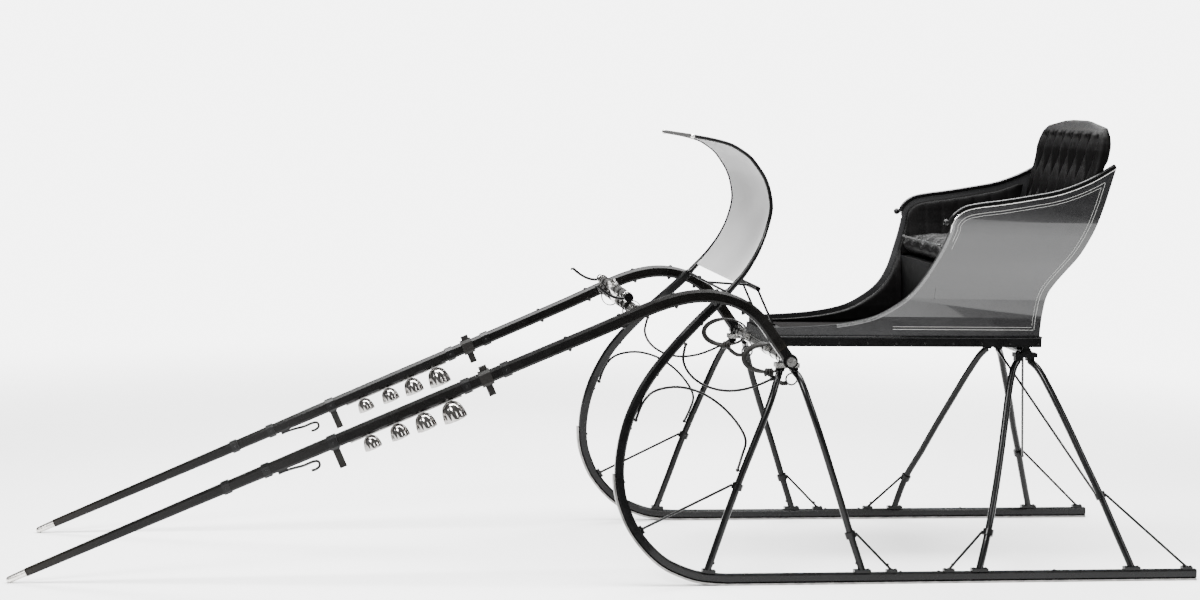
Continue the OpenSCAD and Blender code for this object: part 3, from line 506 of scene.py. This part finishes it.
# ---- bells ----------------------------------------------------------------
def bell(points, along):
    """A fluted gong that fills the CAD bell's room: along is the shaft's direction."""
    side = Y
    up = along.cross(side).normalized()
    if up.z < 0:
        up = -up
    spans = [(min(p.dot(v) for p in points), max(p.dot(v) for p in points)) for v in (along, side, up)]
    centre = along * (sum(spans[0]) / 2) + side * (sum(spans[1]) / 2) + up * spans[2][0]
    r = (spans[0][1] - spans[0][0]) / 2
    h = spans[2][1] - spans[2][0]
    flutes, flute_depth, wall = 10, 0.11, 0.0018

    def flute(t, radius, height):
        share = 1 - min(1, max(0, height / h))
        return radius * (1 - flute_depth * share * (1 - abs(math.cos(flutes * t / 2)) ** 0.6))

    ts = [math.radians(a) for a in (0, 8, 18, 30, 42, 54, 66, 77, 86)]
    outer = [(r * math.cos(t) ** 0.75, h * 0.985 * math.sin(t)) for t in ts]
    inner = [((r - wall) * math.cos(t) ** 0.75, (h - wall) * 0.985 * math.sin(t)) for t in ts]
    # one skin: down the inside, round the lip and up the outside
    profile = inner[::-1] + [(r - wall * 0.5, -0.0006)] + outer
    shell = lathe(profile, centre, up, flutes * 8, flute)
    cap = dome(centre + up * (h * 0.95), up, r * 0.16, h * 0.05)
    clapper = lathe([(0.001, h * 0.14), (r * 0.13, h * 0.17), (r * 0.17, h * 0.25), (r * 0.13, h * 0.33),
                     (0.0016, h * 0.37), (0.0016, h * 0.9)], centre, up, 14)
    return [shell, cap], clapper


def bells():
    """The gongs and clappers of both shafts, in line with the strap that carries them."""
    straps = solids("bell_straps")
    for side in SIDES:
        strap = [group for group in straps if group[0].y * SIDES[side] > 0][0]
        slope, _ = np.polyfit([p.x for p in strap], [p.z for p in strap], 1)
        along = Vector((1, 0, slope)).normalized()
        shells, clappers = [], []
        for group in solids(f"bells_{side}"):
            shell, clapper = bell(group, along)
            shells += shell
            clappers.append(clapper)
        gongs = piece(f"gongs_{side}", shells, bell_metal, "shafts", angle=75)
        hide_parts(f"bells_{side}")
        piece(f"clappers_{side}", clappers, shoe_steel, "shafts")


# ---- panels: edge bead and painted lines ----------------------------------
def outer_edge(node, side):
    """The outline of a side panel's outer face, in order, from the CAD mesh's sharp edges."""
    work = bmesh.new()
    work.from_mesh(nodes[node].data)
    bmesh.ops.remove_doubles(work, verts=work.verts, dist=1e-5)
    bmesh.ops.recalc_face_normals(work, faces=work.faces)
    links = {}
    for edge in work.edges:
        if len(edge.link_faces) != 2:
            continue
        outward = [face.normal.y * side for face in edge.link_faces]
        if max(outward) > 0.75 and min(outward) < 0.4:
            a, b = edge.verts
            links.setdefault(a, []).append(b)
            links.setdefault(b, []).append(a)
    start = max(links, key=lambda v: v.co.z)
    loop, before, here = [start.co.copy()], None, start
    while True:
        onward = [v for v in links[here] if v is not before]
        if not onward or onward[0] is start:
            break
        before, here = here, onward[0]
        loop.append(here.co.copy())
    work.free()
    return loop


def resample(points, step, closed=True):
    """The same line with points at even distances."""
    points = points + [points[0]] if closed else points
    lengths = np.cumsum([0] + [(b - a).length for a, b in zip(points, points[1:])])
    count = max(2, int(lengths[-1] / step))
    stops = np.linspace(0, lengths[-1], count, endpoint=not closed)
    return [Vector([np.interp(s, lengths, [p[k] for p in points]) for k in range(3)]) for s in stops]


def inset(loop, node, side, depth):
    """The outline moved into the panel by depth and laid on its outer face, with the face's normals."""
    count, outside = len(loop), 0.6
    area = sum(a.x * b.z - b.x * a.z for a, b in zip(loop, loop[1:] + loop[:1]))
    turn = 1 if area > 0 else -1
    laid = []
    for i in range(count):
        along = loop[(i + 1) % count] - loop[i - 1]
        inward = Vector((-along.z, 0, along.x)).normalized() * turn
        spot = loop[i] + inward * depth
        point, normal = hit(node, (spot.x, side * outside, spot.z), (0, -side, 0))
        gap = min((Vector((q.x, 0, q.z)) - Vector((spot.x, 0, spot.z))).length for q in loop)
        laid.append((point, normal) if point and gap > depth * 0.97 else None)
    return laid


FEWEST = 4  # a stretch with no more points than this is left out


def runs(laid, wanted):
    """Unbroken stretches of laid points that wanted() keeps. The line starts at its highest point."""
    stretches, now = [], []
    for item in laid + laid[:1]:
        if item and wanted(item[0]):
            now.append(item)
        else:
            stretches.append(now)
            now = []
    stretches.append(now)
    return [s for s in stretches if len(s) > FEWEST]


def bar_along(run, shape):
    """A bar with the given section on a stretch of laid points."""
    return sweep([p for p, _ in run], shape, [n for _, n in run])


def painted_lines():
    """Double lines, a painted highlight band at the front edge and a bright bead on top, for each side panel."""
    floor_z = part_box("side_panel_left")[0].z
    for name, side in SIDES.items():
        node = f"side_panel_{name}"
        loop = resample(outer_edge(node, side), 0.006)
        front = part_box(f"arm_rail_{name}")[0].x + 0.02
        low = floor_z + 0.05

        def fields(p):
            return p.x > front or (p.z < low and p.x > front - 0.16)

        shapes = []
        for depth, width in ((0.021, 0.0015), (0.0295, 0.0012)):
            for run in runs(inset(loop, node, side, depth), fields):
                shapes.append(bar_along(run, strip(width, 0.0007)))
        piece(f"lines_{name}", shapes, trim_paint, "sleigh", angle=80)
        # the lighter band that follows the front edge: a painted highlight where the rounded edge catches the
        # light
        near = runs(inset(loop, node, side, 0.0062), lambda p: p.x < front + 0.01 and p.z > floor_z + 0.03)
        shapes = [bar_along(run, strip(0.0095, 0.0006)) for run in near]
        piece(f"edge_highlight_band_{name}", shapes, painted_edge_highlight, "sleigh", angle=80)
        # and a bright half-round bead along the top edge
        shapes = []
        for run in runs(inset(loop, node, side, 0.0015), lambda p: p.x > front - 0.012 and p.z > floor_z + 0.33):
            kept = [item for item in run if item[0].z > panel_top(node, item[0].x) - 0.01]
            if len(kept) > FEWEST:
                shapes.append(bar_along(kept, circle(0.0022)))
        piece(f"edge_bead_{name}", shapes, nickel, "sleigh")


def panel_top(node, x):
    return max((p.z for p in section(node, 0, x)), default=0)


# ---- upholstery -----------------------------------------------------------
def pillow(node, along, across, through, size, pattern, crisp=8, shrink=0.0):
    """A closed padded form in a CAD solid's room.

    Rows run along one axis, columns across another, and the padding's thickness is on the third. pattern(u, v)
    gives how deep the stitching pulls the face in at each point, in metres, on the low side and the high side.
    """
    low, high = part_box(node)
    rows, cols = size
    edge = 0.0015
    sheets = [[], []]
    for i in range(rows):
        v = low[along] + edge + (high[along] - low[along] - 2 * edge) * i / (rows - 1)
        cut = section(node, along, v)
        first = min(p[across] for p in cut) + edge
        final = max(p[across] for p in cut) - edge
        t = 2 * i / (rows - 1) - 1
        for j in range(cols):
            s = 2 * j / (cols - 1) - 1
            u = first + (final - first) * j / (cols - 1)
            start = Vector((0, 0, 0))
            start[along], start[across] = v, u
            ray = Vector((0, 0, 0))
            ray[through] = 1
            near = hit(node, start - ray * FAR, ray)[0]
            far = hit(node, start + ray * FAR, -ray)[0]
            if near is None or far is None:
                near = far = min(cut, key=lambda p: abs(p[across] - u))
            a, b = near[through] + shrink, far[through] - shrink
            mid, half = (a + b) / 2, max(0, (b - a) / 2)
            swell = math.sqrt(max(0, 1 - abs(s) ** crisp)) * math.sqrt(max(0, 1 - abs(t) ** crisp))
            dips = pattern(u, v)
            for sheet, sign, dip in zip(sheets, (-1, 1), dips):
                point = start.copy()
                point[through] = mid + sign * max(0, half * swell - dip * swell)
                sheet.append(point)
    points = sheets[0] + sheets[1]
    count = rows * cols
    faces = []
    for i in range(rows - 1):
        for j in range(cols - 1):
            quad = [i * cols + j, i * cols + j + 1, (i + 1) * cols + j + 1, (i + 1) * cols + j]
            faces.append(quad)
            faces.append([count + k for k in reversed(quad)])
    rim = list(range(cols)) + [i * cols + cols - 1 for i in range(1, rows)]
    rim += [(rows - 1) * cols + j for j in range(cols - 2, -1, -1)] + [i * cols for i in range(rows - 2, 0, -1)]
    for a, b in zip(rim, rim[1:] + rim[:1]):
        faces.append([a, count + a, count + b, b])
    return points, faces


def tuft(u, v, wide, tall, depth):
    """How deep diamond tufting pulls in at (u, v): folds between buttons, deepest at the buttons."""
    p, q = u / wide + v / tall, u / wide - v / tall
    puff = (abs(math.sin(math.pi * p)) * abs(math.sin(math.pi * q))) ** 0.42
    return depth * (1 - puff)


def weld_rim(obj):
    """Joins the two sheets of a padded form where they meet."""
    work = bmesh.new()
    work.from_mesh(obj.data)
    bmesh.ops.remove_doubles(work, verts=work.verts, dist=2e-5)
    bmesh.ops.recalc_face_normals(work, faces=work.faces)
    work.to_mesh(obj.data)
    work.free()


def swell_with_air(obj, cap, voxel=0.006, pressure=4.0, steps=20):
    """Cloth under pressure rounds the form. No point moves further than cap."""
    remesh = obj.modifiers.new("remesh", "REMESH")
    remesh.mode = "VOXEL"
    remesh.voxel_size = voxel
    bpy.context.view_layer.objects.active = obj
    bpy.ops.object.select_all(action="DESELECT")
    obj.select_set(True)
    bpy.ops.object.modifier_apply(modifier="remesh")
    before = [v.co.copy() for v in obj.data.vertices]
    cloth = obj.modifiers.new("cloth", "CLOTH")
    cloth.settings.use_pressure = True
    cloth.settings.uniform_pressure_force = pressure
    cloth.settings.effector_weights.gravity = 0
    cloth.settings.quality = 4
    cloth.collision_settings.use_collision = False
    scene = bpy.context.scene
    for number in range(1, steps + 1):
        scene.frame_set(number)
    bpy.ops.object.modifier_apply(modifier="cloth")
    scene.frame_set(1)
    for vertex, old in zip(obj.data.vertices, before):
        move = vertex.co - old
        if move.length > cap:
            vertex.co = old + move * (cap / move.length)
    for face in obj.data.polygons:
        face.use_smooth = True


def back_cushion():
    """The diamond-tufted back, with a covered button where the folds meet."""
    low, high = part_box("back_cushion")
    head, half = high.z, high.y
    wide, tall, lift = 0.076, 0.23, 0.03

    def pattern(y, z):
        rim = min(1, max(0, (head - 0.035 - z) / 0.02)) * min(1, max(0, (half * 0.93 - abs(y)) / 0.02))
        return tuft(y, z - low.z - lift, wide, tall, 0.021) * rim, 0.0

    shape = pillow("back_cushion", 2, 1, 0, (130, 150), pattern, crisp=7)
    obj = piece("back_padding", [shape], leather, "sleigh", angle=180)
    weld_rim(obj)
    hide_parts("back_cushion")
    studs = []
    step = tall / 2
    rows = int((head - low.z) / step)
    skin = BVHTree.FromObject(obj, bpy.context.evaluated_depsgraph_get())
    for j in range(1, rows + 1):
        z = low.z + lift + j * step
        for k in range(-8, 9):
            y = (k + (j % 2) * 0.5) * wide
            point = skin.ray_cast(Vector((low.x - 0.5, y, z)), X)[0]
            if point and abs(y) < half * 0.86 and z < head - 0.06:
                studs.append(dome(point - X * 0.001, -X, 0.0062, 0.004))
    piece("back_buttons", studs, strap_leather, "sleigh")


def side_linings():
    """Padding inside the body's sides, plain in front and pleated towards the back."""
    pitch, depth, plain, blend = 0.058, 0.0045, 0.42, 0.12
    for name, side in SIDES.items():
        node = f"side_lining_{name}"
        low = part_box(node)[0]

        def pattern(z, x):
            pleat = depth * (1 - abs(math.sin(math.pi * (x - low.x) / pitch)) ** 0.5)
            fade = min(1, max(0, (x - low.x - plain) / blend))
            dip = pleat * fade + 0.0008
            return (0.0, dip) if side < 0 else (dip, 0.0)

        shape = pillow(node, 0, 2, 1, (210, 60), pattern, crisp=9)
        obj = piece(f"side_padding_{name}", [shape], leather, "sleigh", angle=180)
        weld_rim(obj)
        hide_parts(node)


def seat_cushion():
    """The seat: a form swollen by air, then tufted from above, with a welt round its front edge."""
    node = "seat_cushion"
    low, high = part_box(node)
    shape = pillow(node, 0, 1, 2, (60, 80), lambda y, x: (0.0, 0.0), crisp=6, shrink=0.004)
    obj = piece("seat_padding", [shape], leather, "sleigh", angle=180)
    weld_rim(obj)
    swell_with_air(obj, cap=0.007)
    floor, crown = low.z + 0.0006, high.z + 0.006
    tufted = 0.35  # the share of the height above which the stitching pulls
    for vertex in obj.data.vertices:
        x, y, z = vertex.co
        share = (z - low.z) / (high.z - low.z)
        if share > tufted:
            vertex.co.z = z - tuft(y, x - low.x, 0.105, 0.17, 0.012) * min(1, (share - tufted) / 0.3)
        vertex.co.z = min(crown, max(floor, vertex.co.z))
        vertex.co.x = min(high.x - 0.001, vertex.co.x)
    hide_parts(node)
    # a sewn welt round the front edge of the seat
    z = high.z - 0.012
    cut = section(node, 2, z)
    half = max(p.y for p in cut) - 0.012
    path = smooth_path([(low.x + 0.012, -half + 0.01, z), (low.x + 0.004, -half + 0.03, z), (low.x + 0.0025, 0, z),
                        (low.x + 0.004, half - 0.03, z), (low.x + 0.012, half - 0.01, z)], 10)
    piece("seat_welt", [sweep(path, circle(0.0028), [Z] * len(path))], thread, "sleigh")


def floor_mat():
    """Short-pile carpet with a sewn leather binding."""
    low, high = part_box("floor_mat")
    margin = 0.004
    rows, cols = 150, 110
    random.seed(7)
    points = []
    for i in range(rows):
        for j in range(cols):
            x = low.x + margin + (high.x - low.x - 2 * margin) * i / (rows - 1)
            y = low.y + margin + (high.y - low.y - 2 * margin) * j / (cols - 1)
            rib = 0.0004 * math.sin(x * 2 * math.pi / 0.009)
            points.append((x, y, high.z - 0.0016 + rib + random.uniform(-0.0004, 0.0004)))
    faces = [[i * cols + j, (i + 1) * cols + j, (i + 1) * cols + j + 1, i * cols + j + 1]
             for i in range(rows - 1) for j in range(cols - 1)]
    base = len(points)
    corners = [(low.x + margin, low.y + margin), (low.x + margin, high.y - margin),
               (high.x - margin, high.y - margin), (high.x - margin, low.y + margin)]
    points += [(x, y, low.z + 0.0004) for x, y in corners]
    rims = [list(range(cols)), [i * cols + cols - 1 for i in range(rows)],
            [(rows - 1) * cols + j for j in range(cols - 1, -1, -1)],
            [i * cols for i in range(rows - 1, -1, -1)]]
    for k, rim in enumerate(rims):
        faces.append(rim + [base + (k + 1) % 4, base + k])
    faces.append([base, base + 1, base + 2, base + 3])
    mat = piece("carpet_mat", [(points, faces)], carpet, "sleigh", angle=60)
    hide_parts("floor_mat")
    r = 0.0026
    z = (low.z + high.z) / 2
    turn = [(low.x + r, low.y + 0.02, z), (low.x + r, high.y - 0.02, z), (low.x + 0.01, high.y - r, z),
            (high.x - 0.02, high.y - r, z), (high.x - r, high.y - 0.02, z), (high.x - r, low.y + 0.02, z),
            (high.x - 0.02, low.y + r, z), (low.x + 0.01, low.y + r, z)]
    path = resample([Vector(p) for p in turn], 0.006)
    piece("mat_edge", [sweep(path, circle(r), [Z] * len(path), closed=True)], binding, "sleigh")


# ---- fastenings and small fittings ----------------------------------------
def bolts_on_runners():
    """Bolts through the feet of the legs and braces, along the runners and up their bends."""
    shapes = []
    for name, side in SIDES.items():
        low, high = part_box(f"shoe_{name}")
        track = max(abs(low.y), abs(high.y)) - 0.013
        for node in (f"legs_front_{name}", f"legs_rear_{name}", f"braces_front_{name}", f"braces_rear_{name}"):
            for group in feet(node):
                for end in (-1, 1):
                    x = group.x + end * group.y * 0.72
                    point, normal = hit(node, (x, side * track, group.z + 0.02), (0, 0, -1))
                    if point and point.z < 0.075:
                        shapes.append(dome(point, normal, 0.0042))
        runner = f"runner_{name}"
        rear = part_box(runner)[1].x
        for x in (rear - 0.03, rear - 0.46, rear - 0.83, rear - 0.95):
            point, normal = hit(runner, (x, side * track, 0.3), (0, 0, -1))
            shapes.append(dome(point, normal, 0.0048))
        # up the bend, on the inside of the curve
        for z in (0.16, 0.31, 0.47, 0.63, 0.78):
            cut = section(runner, 2, z)
            inner = max(p.x for p in cut)
            y = middle(cut).y
            point, normal = hit(runner, (inner + 0.05, y, z), (-1, 0, 0))
            if point:
                shapes.append(dome(point, normal, 0.0045))
    piece("runner_bolts", shapes, enamel, "sleigh")


def feet(node):
    """Each foot of a node as (middle x, half length, top z)."""
    top, gap = 0.05, 0.08
    found = []
    for group in solids(node):
        low = [p for p in group if p.z < top]
        if low:
            xs = sorted(p.x for p in low)
            breaks = [0] + [i + 1 for i in range(len(xs) - 1) if xs[i + 1] - xs[i] > gap] + [len(xs)]
            for a, b in zip(breaks, breaks[1:]):
                found.append(Vector(((xs[a] + xs[b - 1]) / 2, (xs[b - 1] - xs[a]) / 2, top)))
    return found


def bolts_on_shafts():
    """Bolts through the bent rear part, with the nut below, and tacks on the iron bands."""
    hinge = frame_joint("shaft_lift")
    shapes = []
    for name in SIDES:
        node = f"shaft_{name}"
        for back in (0.68, 0.52, 0.36, 0.235, 0.14):
            x = hinge.x - back
            cut = section(node, 0, x)
            centre = middle(cut)
            ahead = middle(section(node, 0, x - 0.004))
            along = (centre - ahead).normalized()
            up = along.cross(Y).normalized()
            up = up if up.z > 0 else -up
            for way in (1, -1):
                point, _ = hit(node, centre + up * way * 0.1, -up * way)
                if point and way > 0:
                    shapes.append(dome(point, up, 0.0058))
                elif point:
                    shapes += nut(point, -up, 0.0062, 0.005)
    piece("shaft_bolts", shapes, enamel, "shafts")
    rivets = []
    for group in solids("shaft_bands"):
        centre = middle(group)
        for way in (1, -1):
            point, normal = hit("shaft_bands", centre + Y * way * 0.1, -Y * way)
            if point:
                rivets.append(dome(point, normal, 0.0032, 0.0016))
    piece("band_rivets", rivets, enamel, "shafts")


def joint(name):
    """The record's entry of a joint."""
    return [j for j in frame["record"]["behaviour"]["joints"] if j["name"] == name][0]


def frame_joint(name):
    return Vector(joint(name)["pos_m"])


def collars(centre, table, r, thick):
    """Straps wrapped round a bar. table gives each one's distance from the middle, and its width."""
    return [ring(centre + Y * side * y, Y, r, strip(wide, thick)) for side in (-1, 1) for y, wide in table]


def draught_gear():
    """Leather collars and loops on the crossbar and singletree, the ferrules' rims and balls on the hooks."""
    pivot = frame_joint("singletree_swing")
    up = Vector(joint("singletree_swing")["axis"]).normalized()
    along = up.cross(Y).normalized()
    low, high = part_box("singletree")
    tree_mid = pivot + up * ((low + high) / 2 - pivot).dot(up)
    bars = collars(tree_mid, ((0.085, 0.009), (0.17, 0.009), (0.258, 0.014)), 0.0135, 0.0026)
    piece("singletree_collars", bars, strap_leather, "singletree")
    bars = collars(pivot, ((0.075, 0.01), (0.145, 0.016), (0.24, 0.02), (0.335, 0.014)), 0.0151, 0.003)
    piece("crossbar_collars", bars, strap_leather, "shafts")
    rings = []
    for side in (-1, 1):
        # a leather loop hangs round the crossbar
        mid = pivot + Y * side * 0.24 - up * 0.012
        rings.append(ring(mid, Y, 0.031, strip(0.014, 0.0026), 32, squeeze=(1, 0.9)))
    piece("crossbar_loops", rings, strap_leather, "shafts")
    rings = []
    for side in (-1, 1):
        at = tree_mid + Y * side * 0.283
        rings.append(ring(at, Y, 0.0142, circle(0.0022), 30))
        rings.append(ring(at + Y * side * 0.0345, Y, 0.0118, circle(0.002), 30))
    piece("ferrule_rims", rings, nickel, "singletree")
    tips = []
    for group in solids("trace_hooks"):
        way = 1 if along.x > 0 else -1
        # the hook's end is flat: of its equally far points the innermost and lowest is taken
        tip = min(group, key=lambda p: (way * (p - pivot).dot(along), abs(p.y), p.z))
        tips.append(dome(tip, up, 0.0052, 0.005))
    piece("hook_balls", tips, enamel, "singletree")


def strap_loops():
    """The hitch straps of the cross tube: each a twisted loop with a wrapped knot and a ring on its tail."""
    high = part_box("beam_straps")[1]
    tube = frame_joint("shaft_lift")
    shapes, rings, knots = [], [], []
    for side in (-1, 1):
        y = side * (high.y - 0.011)
        rear = tube.x + 0.0215
        rx, rz = 0.074, 0.044
        path, ups, count = [], [], 60
        for k in range(count):
            t = 2 * math.pi * k / count
            out = Vector((math.cos(t), 0, math.sin(t)))
            path.append(Vector((rear - rx, y, tube.z)) + Vector((rx * math.cos(t), 0, rz * math.sin(t))))
            twist = math.radians(72) * max(0, -math.cos(t)) ** 0.5
            ups.append(out * math.cos(twist) + Y * side * math.sin(twist))
        shapes.append(sweep(path, [(s * 0.85, u - 0.003) for s, u in strip(0.02, 0.006)], ups, closed=True))
        # the knot at the bottom, a few turns of the strap's end
        foot = Vector((rear - rx + 0.004, y, tube.z - rz))
        for k in range(3):
            at = foot + X * (k * 0.009 - 0.008) - Z * 0.001
            knots.append(ring(at, X + Z * 0.15 * (k - 1), 0.0095, circle(0.0042), 20))
        tail = smooth_path([foot + Vector((x, 0, z)) for x, z in
                            ((0, -0.002), (0.02, -0.022), (0.04, -0.034), (0.06, -0.034))], 5)
        shapes.append(sweep(tail, [(s, u - 0.002) for s, u in strip(0.014, 0.004)],
                            [X * 0.2 + Y * side * 0.8 + Z * 0.4] * len(tail)))
        rings.append(ring(foot + Vector((0.073, 0, -0.022)), Y, 0.0175, circle(0.0027), 36))
    loops = piece("hitch_straps", shapes, strap_leather, "sleigh")
    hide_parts("beam_straps")
    piece("strap_knots", knots, strap_leather, "sleigh")
    piece("hitch_rings", rings, enamel, "sleigh")


def undercarriage_fittings():
    """Nuts on the leg lugs and dark bands round the cross tube."""
    shapes = []
    for beam, legs in (("front_beam", "legs_front"), ("rear_beam", "legs_rear")):
        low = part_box(beam)[0]
        for name in SIDES:
            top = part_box(f"{legs}_{name}")[1].z
            heads = [p for group in solids(f"{legs}_{name}") for p in group if p.z > top - 0.004]
            xs = sorted({round(p.x, 3) for p in heads})
            y = sum(p.y for p in heads) / len(heads)
            for x in (min(xs) + 0.012, max(xs) - 0.012):
                for way in (-1, 1):
                    start = (x, y + way * 0.006, low.z + 0.06)
                    point, normal = hit(beam, start, (0, 0, -1))
                    if point and normal.z > 0.9:
                        shapes += nut(point, normal, 0.0055, 0.005)
    piece("lug_nuts", shapes, enamel, "sleigh")
    shapes = []
    low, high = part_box("front_beam")
    mid = (low + high) / 2
    axis_z = frame_joint("shaft_lift").z
    for side in (-1, 1):
        for y in (0.095, 0.21, 0.3, 0.344):
            shapes.append(ring((mid.x, side * y, axis_z), Y, 0.0181, strip(0.007, 0.0016)))
    piece("tube_bands", shapes, enamel, "sleigh")


def body_fittings():
    """Knobs at the arms' front ends and on the foot rail, screws along the sill and its moulding."""
    shapes = []
    for name in SIDES:
        rail = f"arm_rail_{name}"
        end = middle(section(rail, 0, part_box(rail)[0].x + 0.006))
        shapes.append(lathe([(0.006, 0), (0.0095, 0.003), (0.0105, 0.009), (0.0085, 0.015), (0.003, 0.0185)],
                            end - X * 0.004, (-0.6, 0, -0.4), 18))
    piece("arm_knobs", shapes, enamel, "sleigh")
    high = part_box("toe_rail")[1]
    centre = middle(section("toe_rail", 1, high.y - 0.004))
    shapes = []
    for side in (-1, 1):
        at = Vector((centre.x, side * high.y, centre.z))
        shapes.append(lathe([(0.008, -0.001), (0.0085, 0.001), (0.011, 0.004), (0.0125, 0.01), (0.0105, 0.016),
                             (0.004, 0.02)], at, (0, side, 0), 20))
    piece("foot_rail_knobs", shapes, enamel, "sleigh")
    low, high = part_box("sill_frame")
    shapes = []
    for side in (-1, 1):
        y = high.y * side
        x = low.x + 0.03
        while x < high.x - 0.01:
            shapes.append(dome((x, y, low.z + 0.011), (0, side, 0), 0.0035, 0.0018))
            x += 0.0935
    for y in (-0.15, -0.05, 0.05, 0.15):
        shapes.append(dome((high.x, y, low.z + 0.011), (1, 0, 0), 0.0035, 0.0018))
    piece("sill_screws", shapes, enamel, "sleigh")
    # half-round moulding where the panels meet the sill
    y, z = high.y + 0.0002, high.z - 0.004
    edges = [([Vector((x, side * y, z)) for x in (low.x + 0.004, high.x)], Y * side) for side in (-1, 1)]
    edges.append(([Vector((high.x + 0.0005, side * (high.y - 0.004), high.z - 0.003)) for side in (-1, 1)], X))
    shapes = []
    for ends, out in edges:
        path = resample(ends, 0.05, closed=False)
        shapes.append(sweep(path, circle(0.003), [out] * len(path)))
    piece("sill_moulding", shapes, enamel, "sleigh")


def dash_fittings():
    """Rivets that hold the sheet to its irons, and the ends of its top rail."""
    shapes = []
    low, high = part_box("dash_panel")
    for side in (-1, 1):
        z = low.z + 0.03
        while z < high.z - 0.05:
            cut = section("dash_panel", 2, z)
            rear = max(p.x for p in cut)
            edge = max(p.y * side for p in cut if p.x > rear - 0.02)
            start = (rear + 0.06, side * (edge - 0.008), z)
            point, normal = hit("dash_panel", start, (-1, 0, 0))
            if point:
                shapes.append(dome(point, normal, 0.0032, 0.0015))
            z += 0.055
    piece("dash_rivets", shapes, worn_nickel, "sleigh")
    rail_low, rail_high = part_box("dash_top_rail")
    at = (rail_low + rail_high) / 2
    shapes = []
    for side in (-1, 1):
        shapes.append(lathe([(0.0055, -0.002), (0.0075, 0.001), (0.0082, 0.006), (0.006, 0.0105), (0.002, 0.0125)],
                            (at.x, side * rail_high.y, at.z), (0, side, 0), 18))
    piece("dash_rail_ends", shapes, nickel, "sleigh")


camera()
studio()
bells()
painted_lines()
back_cushion()
side_linings()
seat_cushion()
floor_mat()
bolts_on_runners()
bolts_on_shafts()
draught_gear()
strap_loops()
undercarriage_fittings()
body_fittings()
dash_fittings()
